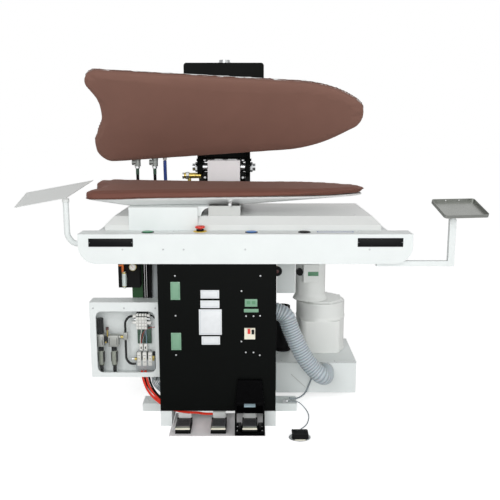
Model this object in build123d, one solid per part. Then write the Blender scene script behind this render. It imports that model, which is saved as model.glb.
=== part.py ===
from build123d import *
import math
import os

# Legger press. Millimetres, +Z up, +X to the operator's right, +Y to the back.
# The origin is on the floor, at the centre of the four anchor holes.

# Floor frame
sill_length = 714.0
sill_width = 90.0
sill_height = 37.0
anchor_spacing_x = 660.0
anchor_spacing_y = 380.0
anchor_hole_d = 14.0
rail_width = 50.0
rail_height = 70.0
rail_span = 506.0
frame_front_y = -394.0
frame_back_y = 490.0
frame_wall = 4.0

# Table
table_top_z = 860.0
table_left_x = -576.0
table_length = 1394.0
fascia_front_y = -420.0
fascia_height = 126.0
fascia_depth = 105.0
fascia_corner_r = 73.0
fascia_rim = 22.0
strip_sheet = 3.0
sheet = 2.0
slab_left_x = -509.0
slab_length = 1240.0
hood_left_x = -482.0
hood_length = 1186.0
hood_depth = 511.0
hood_band = 23.0
hood_chamfer = 35.0
post_size = 50.0

# Buck and head
buck_left_x = -594.0
buck_length = 1255.0
buck_width = 490.0
buck_front_y = -310.0
buck_front_z = 1026.0
buck_tilt = 2.0
pad_thickness = 30.0
pad_crown = 3.0
head_overhang = 12.0
pad_gap_closed = 1.0
pan_depth = 36.0
chest_rim = 12.0
chest_height = 62.0
pan_rim = 8.0
pan_inset = 12.0
pan_floor_length = 0.55
pan_floor_width = 0.82
drain_x = 54.0
# Corner radii of the leg outline, in the order of leg_corners; the notch bends the other way.
leg_radii = (162.0, 38.0, 48.0, 495.0, 74.0, 74.0, 560.0, 75.0, 48.0, 162.0)
buck_end_in = 20.0
smallest_radius = 6.0

# Hinge and drive
hinge_y = 251.0
hinge_z = 1095.0
head_open_angle = 56.0
press_center_x = 9.0
shaft_d = 36.0
shaft_length = 316.0
bearing_d = 52.0
running_gap = 0.05
yoke_inner_half = 107.0
yoke_plate = 25.0
lever_length = 170.0
cross_pin_d = 24.0
cylinder_d = 67.0
cylinder_top_z = 1631.0
cylinder_length = 301.0
cylinder_wall = 5.0
rod_d = 28.0
mast_size = 40.0
rear_cover_y = 345.0
rear_cover_width = 406.0
rear_cover_height = 383.0
rear_cover_depth = 22.0
rear_cover_drop = 18.0
elbow_y = 203.0
elbow_top_z = 1165.0
hose_top_z = 1062.0
hose_xs = (-424.0, -338.0)
air_hose_x = -283.0
air_hose_top_z = 1130.0
tie_radius = 75.0
tie_angle = 175.0
cheek_inner_half = 50.0
cheek_outer_half = 70.0
post_top_z = 980.0
cover_front_y = 203.0
slot_clear = 1.6
header_y = 230.0
header_z = 880.0
header_socket = 24.0

# Buck column and pedestal
column_width = 138.0
column_depth = 120.0
column_left_x = -40.0
column_front_y = -278.0
column_bottom_z = 420.0
column_wall = 3.0
pedestal_left_x = -379.0
pedestal_width = 295.0
pedestal_depth = 260.0

# Control panel
panel_side_gap = 1.0
panel_front_y = -396.0
panel_bottom_z = 72.0
panel_top_z = 760.0
hose_slot_height = 60.0
plate_places = (
    (-197, -157, 574, 652),
    (-199, -156, 351, 428),
    (-70, 9, 580, 616),
    (-71, 10, 538, 571),
    (-78, 19, 419, 532),
    (-68, 11, 375, 412),
    (118, 171, 544, 577),
    (114, 176, 519, 534),
)
plate_thickness = 1.2
starter_front = 7.0
stop_key = (130, 141, 426, 448)
start_key = (147, 158, 424, 444)
key_gap = 0.3
key_length = 6.0
panel_screws = (
    (-177, 678), (-178, 504), (-179, 328), (104, 612), (184, 678), (123, 502),
    (155, 502), (183, 503), (103, 389), (122, 340), (155, 340), (182, 327),
)
fascia_screw_xs = (-390, -221, -136, 120, 637)
fascia_screw_z = 796.0
lid_screws = ((290, -90), (398, -92), (545, -92), (640, -90), (275, 20))
knob_x = 262.0
knob_y = -206.0
knob_z = 657.0

# Valve box
vbox_gap = 5.0
vbox_width = 304.0
vbox_front_y = -330.0
vbox_depth = 84.0
vbox_bottom_z = 203.0
vbox_height = 342.0
window_width = 258.0
window_height = 280.0
window_r = 26.0

# Relay box, hanger plate and wiring duct on the left
relay_left_x = -435.0
relay_right_x = -342.0
relay_front_y = -300.0
hanger_left_x = -386.0
hanger_right_x = -338.0
bleed_x = -407.0
gauge_x = -369.0
duct_right_x = -260.0
duct_width = 43.0

# Vacuum unit
vac_gap = 12.0
vac_width = 383.0
vac_front_y = -103.0
vac_depth = 364.0
vac_height = 154.0
drum_d = 242.0
drum_height = 259.0
drum_inset = 231.0
drum_y = 141.0
drum_wall = 6.0
motor_d = 148.0
motor_offset = -54.0
motor_y = 122.0
motor_height = 262.0
impeller_d = 110.0
motor_shaft_d = 16.0
hose_d = 80.0
hose_rib_pitch = 15.0
hose_rib_depth = 4.0
hose_bore_d = 66.0
spigot_wall = 3.0
spigot_length = 60.0
outlet_inset = 232.0
outlet_z = 150.0
column_port_z = 490.0
exhaust_d = 64.0
exhaust_inset = 38.0
exhaust_y = 84.0
motor_foot_r = 88.0

# Pedals and foot switch
pedal_plate_width = 412.0
pedal_plate_depth = 232.0
pedal_plate_thickness = 3.0
pedal_plate_front_y = -497.0
pedal_width = 64.0
pedal_front_y = -488.0
pedal_length = 118.0
pedal_height = 35.0
pedal_left_x = -148.0
pedal_middle_x = 4.0
pedal_right_x = 139.0
guard_width = 128.0
guard_height = 116.0
guard_hood_height = 219.0
switch_x = 351.0
switch_y = -507.0
switch_plate_length = 94.0
switch_plate_width = 78.0
switch_body_width = 69.0
cable_d = 5.0
pedal_pin_z = 22.0
valve_block_z = 56.0
valve_port_z = 42.0
hose_size = 11.0

# Push buttons on the table strip
button_row_y = -367.0
bezel_d = 53.0
button_d = 44.0
start_x = -291.0
blue_x = 146.0
black_x = 369.0
stop_x = -72.0
stop_y = -345.0
stop_d = 42.0

# Trays
left_post_x = -637.0
left_post_y = -345.0
left_post_top_z = 985.0
arm_tube_d = 25.0
tray_stub_d = 16.0
right_post_x = 986.0
right_post_y = -386.0
right_post_top_z = 925.0
right_post_width = 27.0
right_tray_width = 195.0
right_tray_depth = 150.0
right_tray_rim = 14.0
right_tray_turn = 10.0
right_tray_tilt = 20.0
left_tray_slope_x = 0.0754
left_tray_slope_y = 0.1857
left_tray_corners = ((-830, -420), (-638, -334), (-617, -240), (-580, -70), (-848, -200))
right_bar_x = 672.0
right_bar_z = 720.0

screw_d = 8.0
screw_height = 2.5
seat_gap = 0.3

# Values that follow
buck_right_x = buck_left_x + buck_length
table_bottom_z = table_top_z - fascia_height
table_right_x = table_left_x + table_length
fascia_back_y = fascia_front_y + fascia_depth
slab_under_z = table_top_z - strip_sheet
slab_right_x = slab_left_x + slab_length
hood_right_x = hood_left_x + hood_length
hood_back_y = fascia_back_y + hood_depth
hood_top_z = table_top_z + hood_band + hood_chamfer
ring_bottom_z = slab_under_z - post_size
frame_half = rail_span / 2
panel_width = rail_span - 2 * panel_side_gap
vbox_left_x = -frame_half - vbox_gap - vbox_width
vac_left_x = frame_half + vac_gap
drum_x = vac_left_x + drum_inset
motor_x = drum_x + motor_offset
outlet_x = vac_left_x + outlet_inset
exhaust_x = vac_left_x + exhaust_inset
column_right_x = column_left_x + column_width
column_back_y = column_front_y + column_depth
column_mid_y = column_front_y + column_depth / 2
pedestal_right_x = pedestal_left_x + pedestal_width
vbox_right_x = vbox_left_x + vbox_width
vbox_back_y = vbox_front_y + vbox_depth
vbox_top_z = vbox_bottom_z + vbox_height
vbox_wall_y = vbox_back_y - sheet
vac_right_x = vac_left_x + vac_width
vac_top_z = sill_height + vac_height
drum_top_z = vac_top_z + drum_height
front_post_y = panel_front_y + 56.0
rear_post_y = 325.0
cylinder_y = hinge_y + lever_length * (1 + math.cos(math.radians(head_open_angle / 2))) / 2
cylinder_bottom_z = cylinder_top_z - cylinder_length
shelf_z = cylinder_bottom_z - 20.0
mast_top_z = cylinder_top_z - 71.0
rear_cover_top_z = cylinder_top_z - rear_cover_drop
rear_cover_bottom_z = rear_cover_top_z - rear_cover_height
mast_front_y = cylinder_y + cylinder_d / 2 + 2.0
lever_half_swing = lever_length * (1 - math.cos(math.radians(head_open_angle / 2))) / 2
lever_rise = lever_length * math.sin(math.radians(head_open_angle / 2))

press_frame = Pos(0, buck_front_y, buck_front_z) * Rot(buck_tilt, 0, 0)
hinge_line = Pos(0, hinge_y, hinge_z)
opened = hinge_line * Rot(-head_open_angle, 0, 0) * hinge_line.inverse()


def block(x0, x1, y0, y1, z0, z1):
    """A box from its lowest to its highest corner."""
    return Pos((x0 + x1) / 2, (y0 + y1) / 2, (z0 + z1) / 2) * Box(x1 - x0, y1 - y0, z1 - z0)


def upright(x, y, z0, z1, radius):
    """A round bar standing on z0."""
    return Pos(x, y, (z0 + z1) / 2) * Cylinder(radius, z1 - z0)


def crosswise(x0, x1, y, z, radius):
    """A round bar along X."""
    return Pos((x0 + x1) / 2, y, z) * Rot(0, 90, 0) * Cylinder(radius, x1 - x0)


def endwise(x, y0, y1, z, radius):
    """A round bar along Y."""
    return Pos(x, (y0 + y1) / 2, z) * Rot(90, 0, 0) * Cylinder(radius, y1 - y0)


def front_plate(x0, x1, y0, y1, z0, z1, radius):
    """A plate whose corners are round when seen from the front."""
    flat = RectangleRounded(x1 - x0, z1 - z0, radius)
    return Pos((x0 + x1) / 2, y1, (z0 + z1) / 2) * Rot(90, 0, 0) * extrude(flat, y1 - y0)


def top_plate(x0, x1, y0, y1, z0, z1, radius):
    """A plate whose corners are round when seen from above."""
    flat = RectangleRounded(x1 - x0, y1 - y0, radius)
    return Pos((x0 + x1) / 2, (y0 + y1) / 2, z0) * extrude(flat, z1 - z0)


def side_prism(x0, x1, profile):
    """A closed outline of (y, z) points, extruded from x0 to x1."""
    outline = Polyline(*[(x0, y, z) for y, z in profile], close=True)
    return extrude(make_face(outline), amount=x1 - x0, dir=(1, 0, 0))


def front_prism(y0, y1, profile):
    """A closed outline of (x, z) points, extruded from y0 to y1."""
    outline = Polyline(*[(x, y0, z) for x, z in profile], close=True)
    return extrude(make_face(outline), amount=y1 - y0, dir=(0, 1, 0))


def bend_radii(points, largest):
    """Arc radii at the inner points of a route, from the shorter run beside each turn."""
    radii = []
    for before, here, after in zip(points, points[1:], points[2:]):
        run_in = Vector(*here) - Vector(*before)
        run_out = Vector(*after) - Vector(*here)
        half_turn = math.radians(run_in.get_angle(run_out)) / 2
        shorter = min(run_in.length, run_out.length)
        radii.append(min(largest, 0.45 * shorter / math.tan(half_turn)))
    return radii


def route(points, largest=1000.0):
    """A path of straight runs joined by tangent arcs."""
    return FilletPolyline(*points, radius=bend_radii(points, largest))


def tube(points, diameter, largest=1000.0):
    """A round tube that follows a route."""
    path = route(points, largest)
    start = Plane(origin=points[0], z_dir=Vector(*points[1]) - Vector(*points[0]))
    return sweep(start * Circle(diameter / 2), path=path)


def save(name, *pieces):
    """Write the pieces of one sub-part to parts/name.step."""
    solids = [solid for piece in pieces for solid in piece.solids()]
    shape = solids[0] if len(solids) == 1 else Compound(children=solids)
    export_step(shape, f"parts/{name}.step")


def leg_corners(end_in):
    """Corners of the leg outline in the press plane: x, and v measured back from the front.

    The front lobe of the left end stands end_in short of the full length.
    """
    left, right, width = buck_left_x, buck_right_x, buck_width
    front_left = left + end_in
    back_left = left - 0.006 * buck_length
    notch = left + 0.041 * buck_length
    return [
        (notch, 0.302 * width),
        (front_left, 0.122 * width),
        (front_left, -0.008 * width),
        (right - 0.121 * buck_length, 0.136 * width),
        (right, 0.357 * width),
        (right, 0.547 * width),
        (right - 0.17 * buck_length, 0.835 * width),
        (back_left, 1.018 * width),
        (back_left, 0.759 * width),
        (notch, 0.504 * width),
    ]


def grown_corners(corners, grow):
    """Move every side of a closed outline outwards and return its corners."""
    moved = []
    for before, here, after in zip(corners[-1:] + corners, corners, corners[1:] + corners[:1]):
        side_in = (Vector(*here) - Vector(*before)).normalized()
        side_out = (Vector(*after) - Vector(*here)).normalized()
        away = Vector(side_in.Y + side_out.Y, -side_in.X - side_out.X)
        spread = 1 + side_in.X * side_out.X + side_in.Y * side_out.Y
        moved.append((here[0] + away.X * grow / spread, here[1] + away.Y * grow / spread))
    return moved


def leg_face(grow, end_in=0.0):
    """The leg outline as a face, grown outwards."""
    radii = []
    for index, radius in enumerate(leg_radii):
        bent_in = index in (0, len(leg_radii) - 1)
        radii.append(max(smallest_radius, radius - grow if bent_in else radius + grow))
    corners = grown_corners(leg_corners(end_in), grow)
    return make_face(FilletPolyline(*corners, radius=radii, close=True))


def leg_layers(steps, end_in=0.0):
    """A ruled loft through leg outlines at (grow, height) steps."""
    faces = [Pos(0, 0, height) * leg_face(grow, end_in) for grow, height in steps]
    return loft(faces, ruled=True)


def pad_steps(grow, crown_side):
    """Drawn-in skirt, round edge and crown of a pad; heights run from its back to its face."""
    profile = [
        (-13, pad_thickness),
        (-4, pad_thickness - 4),
        (0, pad_thickness - 10),
        (0, pad_thickness - 18),
        (-3, pad_crown + 5),
        (-9, pad_crown + 1),
        (-17, pad_crown - 1),
        (-30, 0),
    ]
    return [(grow + inward, crown_side * depth) for inward, depth in profile]


def buck_pad():
    return press_frame * leg_layers(pad_steps(0, -1), buck_end_in)


def buck_pan():
    """Steam chest under the pad: a rim and a hull that runs up to the nose."""
    top = -pad_thickness - seat_gap
    rim = leg_layers([(-pan_inset, top - pan_rim), (-pan_inset, top)], buck_end_in)
    upper = Pos(0, 0, top - pan_rim) * leg_face(-pan_inset, buck_end_in)
    floor_corners = []
    for x, v in leg_corners(buck_end_in):
        floor_x = buck_left_x * 0.7 + (x - buck_left_x) * pan_floor_length
        floor_v = buck_width / 2 + (v - buck_width / 2) * pan_floor_width
        floor_corners.append((floor_x, floor_v))
    floor_radii = [0.5 * radius for radius in leg_radii]
    floor_line = FilletPolyline(*floor_corners, radius=floor_radii, close=True)
    floor = Pos(0, 0, top - pan_depth) * make_face(floor_line)
    hull = loft([floor, upper], ruled=True)
    drain = Pos(drain_x, 30, top - pan_depth + 10) * Rot(90, 0, 0) * Cylinder(8, 72)
    return press_frame * (rim + hull + drain)


def under_pan(shape, gap):
    """What is left of a shape below the pan's floor, less a gap."""
    floor = -pad_thickness - seat_gap - pan_depth - gap
    above = press_frame * block(-1000, 1000, -400, 900, floor, floor + 400)
    return shape - above


def on_head(shape):
    """Carry a head piece from the press plane into the open, resting pose."""
    return opened * press_frame * shape


head_back = pad_gap_closed + pad_thickness + seat_gap
chest_pad_top = head_back + chest_height + 4.0


def head_pad():
    steps = pad_steps(head_overhang, 1)
    return on_head(Pos(0, 0, pad_gap_closed) * leg_layers(steps))


def head_elbow(x):
    """Steam elbow on the rear edge of the head, with its hose fitting, in the resting pose."""
    top = elbow_top_z
    body = upright(x, elbow_y, top - 65, top, 11) + crosswise(x - 20, x, elbow_y, top - 45, 9)
    nut = Pos(x + 4, elbow_y, top - 73) * extrude(RegularPolygon(9.5, 6), 16)
    stem = upright(x + 4, elbow_y, hose_top_z, top - 55, 7.5)
    return body + nut + stem


def head_chest():
    """Steam chest of the head: rim, hull, spine, two yoke pads and the hose elbows."""
    base = head_back
    rim = leg_layers([(head_overhang - 6, base), (head_overhang - 6, base + chest_rim)])
    hull = leg_layers([(-16, base + chest_rim), (-30, base + chest_rim + 20)])
    crown_half = buck_width / 2 - 95
    crown = Pos(-40, buck_width / 2 - 8, base + chest_rim + 20) * extrude(
        RectangleRounded(0.68 * buck_length, 2 * crown_half, 60), chest_height - chest_rim - 20
    )
    chest = rim + hull + crown
    for side in (-1, 1):
        middle = press_center_x + side * (yoke_inner_half + yoke_plate / 2)
        chest += block(middle - 24, middle + 24, 105, 398, base + chest_rim, chest_pad_top)
    fitted = on_head(chest)
    for x in hose_xs:
        fitted += head_elbow(x)
    return fitted + upright(air_hose_x, elbow_y, air_hose_top_z, elbow_top_z, 10)


def hinge_in_press():
    """The hinge line's v and height in the press plane."""
    tilt = math.radians(buck_tilt)
    back, up = hinge_y - buck_front_y, hinge_z - buck_front_z
    v = back * math.cos(tilt) + up * math.sin(tilt)
    return v, up * math.cos(tilt) - back * math.sin(tilt)


def head_yoke():
    """Two side plates from the chest over the shaft to the lever, a tie and the cross pin."""
    v, w = hinge_in_press()
    lift = math.radians(head_open_angle / 2 - buck_tilt)
    pin_v = v + lever_length * math.cos(lift)
    pin_w = w + lever_length * math.sin(lift)
    profile = [
        (110, chest_pad_top),
        (110, chest_pad_top + 40),
        (300, chest_pad_top + 95),
        (440, chest_pad_top + 95),
        (v + 20, w + 78),
        (pin_v - 25, pin_w + 27),
        (pin_v + 20, pin_w + 24),
        (pin_v + 30, pin_w),
        (pin_v + 8, pin_w - 29),
        (v + 48, w - 12),
        (v + 30, w - 40),
        (v - 5, w - 50),
        (v - 38, w - 30),
        (v - 55, w + 8),
        (400, chest_pad_top),
    ]
    left = press_center_x - yoke_inner_half
    right = press_center_x + yoke_inner_half
    plates = side_prism(left - yoke_plate, left, profile)
    plates += side_prism(right, right + yoke_plate, profile)
    plates -= crosswise(left - 99, right + 99, v, w, shaft_d / 2)
    turned = Pos(press_center_x, v, w) * Rot(tie_angle, 0, 0) * Pos(0, tie_radius, 0)
    tie = turned * Box(right - left + 10, 14, 60)
    pin = crosswise(left - 4, right + 4, pin_v, pin_w, cross_pin_d / 2)
    for side in (-1, 1):
        outer = press_center_x + side * (yoke_inner_half + yoke_plate)
        for angle in (35, 145, 215):
            bolt_v = v + 36 * math.cos(math.radians(angle))
            bolt_w = w + 36 * math.sin(math.radians(angle))
            plates += crosswise(min(outer, outer + side * 6), max(outer, outer + side * 6), bolt_v, bolt_w, 7)
    return on_head(plates + tie + pin)


def pivot_shaft():
    half = shaft_length / 2
    shaft = crosswise(press_center_x - half, press_center_x + half, hinge_y, hinge_z, shaft_d / 2)
    for side in (-1, 1):
        inner = press_center_x + side * (yoke_inner_half + yoke_plate)
        nut = extrude(RegularPolygon(25, 6), 12)
        shaft += Pos(inner, hinge_y, hinge_z) * Rot(0, 90 * side, 0) * nut
    return shaft


def hinge_column():
    """Press column with its bearing cheeks, and the masts that carry the air cylinder."""
    c = press_center_x
    post = block(c - 70, c + 70, 215, 315, sill_height, post_top_z)
    post -= block(c - 64, c + 64, 221, 309, sill_height, post_top_z - 12)
    foot = block(c - 100, c + 100, 236, 345, sill_height, sill_height + 12)
    foot -= block(c - 64, c + 64, 221, 309, sill_height, sill_height + 12)
    column = post + foot
    bearings = []
    for side in (-1, 1):
        x0 = c + min(side * cheek_inner_half, side * cheek_outer_half)
        x1 = c + max(side * cheek_inner_half, side * cheek_outer_half)
        cheek = block(x0, x1, hinge_y - 32, hinge_y + 32, post_top_z - 10, hinge_z)
        cheek += crosswise(x0, x1, hinge_y, hinge_z, 32)
        column += cheek - crosswise(x0, x1, hinge_y, hinge_z, bearing_d / 2)
        ring = crosswise(x0, x1, hinge_y, hinge_z, bearing_d / 2)
        bearings.append(ring - crosswise(x0, x1, hinge_y, hinge_z, shaft_d / 2 + running_gap))
        mast = block(
            c + side * 77.5 - mast_size / 2 + 2.5,
            c + side * 77.5 + mast_size / 2 - 2.5,
            mast_front_y,
            mast_front_y + mast_size,
            sill_height,
            mast_top_z,
        )
        strut_x = c + side * 76
        strut = block(strut_x - 14, strut_x + 14, 310, mast_front_y + 5, 880, 920)
        column += mast + strut
        for z in (rear_cover_bottom_z + 20, mast_top_z - 60):
            x = c + side * 80
            column += block(x - 10, x + 10, rear_cover_y + sheet, mast_front_y + 5, z, z + 30)
    column += block(c - 60, c + 60, mast_front_y, mast_front_y + mast_size, shelf_z, cylinder_bottom_z)
    shelf = block(c - 95, c + 95, cylinder_y - 40, mast_front_y + 5, shelf_z, cylinder_bottom_z)
    shelf -= upright(c, cylinder_y, shelf_z - 10, cylinder_bottom_z + 1, rod_d / 2 + 3)
    tab = block(c - 19, c + 19, cover_front_y + sheet, 221, 955, 1040)
    return [column + shelf + tab] + bearings


def rear_cover():
    """Black sheet cover in front of the cylinder, its edge turned to the back."""
    half, z0, z1 = rear_cover_width / 2, rear_cover_bottom_z, rear_cover_top_z
    c, y, back = press_center_x - 2, rear_cover_y, rear_cover_y + rear_cover_depth
    plate = front_plate(c - half, c + half, y, y + sheet, z0, z1, 15)
    edge = front_plate(c - half, c + half, y, back, z0, z1, 15)
    hollow = front_plate(c - half + sheet, c + half - sheet, y, back + 1, z0 + sheet, z1 - sheet, 13)
    return plate + (edge - hollow)


def hinge_cover():
    x0, x1 = press_center_x - 80, press_center_x + 81
    top = hinge_z + 36
    box = block(x0, x1, cover_front_y, 305, 985, top)
    box -= block(x0 + sheet, x1 - sheet, cover_front_y + sheet, 306, 984, top - sheet)
    return box - crosswise(x0 - 1, x1 + 1, hinge_y, hinge_z, shaft_d / 2 + 4)


def cylinder_barrel():
    c, y = press_center_x, cylinder_y
    outer = upright(c, y, cylinder_bottom_z, cylinder_top_z - 12, cylinder_d / 2)
    cap = upright(c, y, cylinder_top_z - 12, cylinder_top_z, cylinder_d / 2 - 6)
    bore = upright(c, y, cylinder_bottom_z + 20, cylinder_top_z - 20, cylinder_d / 2 - cylinder_wall)
    gland = upright(c, y, cylinder_bottom_z - 1, cylinder_bottom_z + 21, rod_d / 2 + running_gap)
    return outer + cap - bore - gland


def cylinder_rod():
    """Piston, rod and the slotted head that the lever's cross pin slides in."""
    c, y = press_center_x, cylinder_y
    pin_z = hinge_z - lever_rise
    head_half = lever_half_swing + cross_pin_d / 2 + 14
    rod = upright(c, y, pin_z + 20, cylinder_bottom_z + 40, rod_d / 2)
    piston_r = cylinder_d / 2 - cylinder_wall - running_gap
    piston = upright(c, y, cylinder_bottom_z + 30, cylinder_bottom_z + 60, piston_r)
    head = block(c - 22, c + 22, y - head_half, y + head_half, pin_z - 26, pin_z + 26)
    slot_half = lever_half_swing + cross_pin_d / 2 + slot_clear
    slot_rise = cross_pin_d / 2 + slot_clear
    slot = block(c - 23, c + 23, y - slot_half, y + slot_half, pin_z - slot_rise, pin_z + slot_rise)
    return rod + piston + head - slot


def rail(side):
    inner = frame_half - rail_width
    x0, x1 = min(side * inner, side * frame_half), max(side * inner, side * frame_half)
    return block(x0, x1, frame_front_y, frame_back_y, 0, rail_height)


def base_frame():
    """Two long rails, two cross sills, a rear tie and the bed plate of the press column."""
    half_sill = sill_length / 2
    frame = rail(-1) + rail(1)
    sills = [anchor_spacing_y / 2 * side for side in (-1, 1)]
    for y in sills:
        frame += block(-half_sill, half_sill, y - sill_width / 2, y + sill_width / 2, 0, sill_height)
    frame += block(-frame_half, frame_half, frame_back_y - rail_width, frame_back_y, 0, sill_height)
    bed_front = anchor_spacing_y / 2 + sill_width / 2 - 5
    bed_half = frame_half - 1
    frame += block(-bed_half, bed_half, bed_front, frame_back_y - 5, sill_height - 12, sill_height)
    wall = frame_wall
    for side in (-1, 1):
        inner, outer = frame_half - rail_width + wall, frame_half - wall
        x0, x1 = min(side * inner, side * outer), max(side * inner, side * outer)
        frame -= block(x0, x1, frame_front_y + wall, frame_back_y + 1, wall, rail_height - wall)
    for y in sills:
        bore_end, bore_half = half_sill + 1, sill_width / 2 - wall
        frame -= block(-bore_end, bore_end, y - bore_half, y + bore_half, wall, sill_height - wall)
        for side in (-1, 1):
            frame -= upright(side * anchor_spacing_x / 2, y, -1, sill_height + 1, anchor_hole_d / 2)
    frame += block(frame_half, vac_left_x, -60, -20, 40, 66)
    return frame


def body_frame():
    """Posts on the rails, the top ring, a cross tube behind the buck column, hanger plates."""
    size = post_size
    rear = rear_post_y + size
    frame = block(-frame_half, frame_half, front_post_y, front_post_y + size, ring_bottom_z, slab_under_z)
    frame += block(-frame_half, frame_half, rear_post_y, rear, ring_bottom_z, slab_under_z)
    frame += block(-frame_half, frame_half, column_back_y, column_back_y + size, ring_bottom_z, slab_under_z)
    for side in (-1, 1):
        a, b = side * frame_half, side * (frame_half - size)
        x0, x1 = min(a, b), max(a, b)
        frame += block(x0, x1, front_post_y, rear, ring_bottom_z, slab_under_z)
        for y in (front_post_y, rear_post_y):
            frame += block(x0, x1, y, y + size, rail_height, slab_under_z)
    for side in (-1, 1):
        a, b = side * (frame_half - frame_wall), side * (frame_half - size + frame_wall)
        x0, x1 = min(a, b), max(a, b)
        for y in (front_post_y, rear_post_y):
            frame -= block(x0, x1, y + frame_wall, y + size - frame_wall, rail_height - 1, ring_bottom_z)
    hanger = block(hanger_left_x, hanger_right_x, vbox_back_y + 2, vbox_back_y + 10, 480, slab_under_z)
    for z in (250, 490):
        frame += block(vbox_right_x, -frame_half, vbox_front_y + 10, vbox_front_y + 30, z, z + 40)
    y0, y1 = vbox_back_y + 2, vbox_back_y + 10
    frame += block(hanger_right_x, -frame_half, y0, y1, ring_bottom_z, slab_under_z)
    frame += block(frame_half - 8, frame_half, column_back_y, column_back_y + 28, 630, ring_bottom_z)
    return frame + hanger


def front_panel():
    half = panel_width / 2
    y = panel_front_y
    panel = block(-half, half, y, y + sheet, panel_bottom_z, panel_top_z)
    flange_z = panel_bottom_z + hose_slot_height
    for side in (-1, 1):
        a, b = side * half, side * (half - sheet)
        panel += block(min(a, b), max(a, b), y, front_post_y, flange_z, panel_top_z)
    return panel


def panel_plates():
    """Bare plates and the small display on the panel and the fascia."""
    y = panel_front_y
    plates = [block(x0, x1, y - plate_thickness, y, z0, z1) for x0, x1, z0, z1 in plate_places]
    y = fascia_front_y
    plates.append(block(-531, -346, y - plate_thickness, y, 807, 842))
    plates.append(block(587, 776, y - plate_thickness, y, 807, 844))
    return plates


def starter_case():
    y = panel_front_y
    case = block(116, 162, y - starter_front, y, 401, 450)
    for x0, x1, z0, z1 in (stop_key, start_key):
        case -= block(x0 - key_gap, x1 + key_gap, y - starter_front - 1, y - 1.5, z0 - key_gap, z1 + key_gap)
    return case


def starter_key(place):
    x0, x1, z0, z1 = place
    back = panel_front_y - 1.5 - 2.5
    return block(x0, x1, back - key_length, back, z0, z1)


def cover_screws():
    """All the visible cover screws, one small head each."""
    r, h = screw_d / 2, screw_height
    heads = [endwise(x, panel_front_y - h, panel_front_y, z, r) for x, z in panel_screws]
    heads += [endwise(x, fascia_front_y - h, fascia_front_y, fascia_screw_z, r) for x in fascia_screw_xs]
    third = vbox_width / 2 - 16
    middle = vbox_left_x + vbox_width / 2
    for step in (-1, 0, 1):
        heads.append(endwise(middle + step * third, vbox_front_y - h, vbox_front_y, vbox_top_z - 26, r))
    heads += [upright(x, y, vac_top_z, vac_top_z + h, r) for x, y in lid_screws]
    heads += [upright(x, -345, table_top_z, table_top_z + h, r / 2) for x in (-185, 600)]
    heads.append(upright(600, -250, hood_top_z, hood_top_z + h, r))
    return heads


def fascia_outline(inset):
    """The front shape of the fascia: square on top, round at its lower corners."""
    x0, x1 = table_left_x + inset, table_right_x - inset
    z0, z1 = table_bottom_z + inset, table_top_z - inset
    r = fascia_corner_r - inset
    low = FilletPolyline(
        (x0, 0, z1), (x0, 0, z0), (x1, 0, z0), (x1, 0, z1), radius=r
    )
    return make_face(Curve() + [low, Line((x1, 0, z1), (x0, 0, z1))])


def table_fascia():
    """Front plate, its turned rim, the top strip with button holes, and the end plates."""
    y = fascia_front_y
    t = strip_sheet
    outer = Pos(0, y, 0) * extrude(fascia_outline(0), amount=fascia_rim, dir=(0, 1, 0))
    inner = Pos(0, y + t, 0) * extrude(fascia_outline(t), amount=fascia_rim, dir=(0, 1, 0))
    fascia = outer - inner
    fascia += block(table_left_x, table_right_x, y, fascia_back_y, slab_under_z, table_top_z)
    end_z = table_bottom_z + fascia_corner_r
    fascia += block(table_left_x, table_left_x + t, y, fascia_back_y, end_z, table_top_z)
    fascia += block(table_right_x - t, table_right_x, y, fascia_back_y, end_z, table_top_z)
    for x in (start_x, blue_x, black_x):
        fascia -= upright(x, button_row_y, slab_under_z - 1, table_top_z + 1, button_d / 2 + 1)
    return fascia - upright(stop_x, stop_y, slab_under_z - 1, table_top_z + 1, 9)


def table_slab():
    slab = block(slab_left_x, slab_right_x, fascia_back_y, hood_back_y + 4, slab_under_z, table_top_z)
    x0, x1 = column_left_x - seat_gap, column_right_x + seat_gap
    slab -= block(x0, x1, column_front_y - 14, column_back_y + seat_gap, 0, table_top_z + 1)
    apron = block(267, 354, -60, -60 + sheet, 519, slab_under_z)
    return slab + apron


def hood_body(inset):
    x0, x1 = hood_left_x + inset, hood_right_x - inset
    y0, y1 = fascia_back_y + inset, hood_back_y - inset
    top, c = hood_top_z - inset, hood_chamfer
    wide = front_prism(
        y0, y1,
        [(x0, table_top_z), (x1, table_top_z), (x1, top - c), (x1 - c, top), (x0 + c, top), (x0, top - c)],
    )
    deep = side_prism(
        x0, x1,
        [(y0, table_top_z), (y1, table_top_z), (y1, top), (y0 + c, top), (y0, top - c)],
    )
    return wide & deep


def table_hood():
    hood = hood_body(0) - hood_body(sheet)
    g = seat_gap
    x0, x1 = pedestal_left_x - g, pedestal_right_x + g
    hood -= block(x0, x1, fascia_back_y - 1, fascia_back_y + pedestal_depth + g, 0, 1000)
    return hood - block(column_left_x - g, column_right_x + g, column_front_y - g, column_back_y + g, 0, 1000)


def pedestal_cover():
    """White cover beside the column, with the curved duct on its right side."""
    x0, x1 = pedestal_left_x, pedestal_right_x
    y0, y1 = fascia_back_y, fascia_back_y + pedestal_depth
    outer = under_pan(block(x0, x1, y0, y1, table_top_z, 1000), seat_gap)
    space = block(x0 + sheet, x1 - sheet, y0 + sheet, y1 - sheet, table_top_z - 1, 1000)
    inner = under_pan(space, seat_gap + sheet)
    duct_end = column_left_x - seat_gap
    duct = block(x1 - 1, duct_end, y0 + 25, y0 + 110, hood_top_z, 1000)
    duct -= Pos(duct_end + 6, y0 + 60, hood_top_z - 2) * Rot(90, 0, 0) * Cylinder(38, 120)
    return outer - inner + under_pan(duct, seat_gap)


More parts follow.
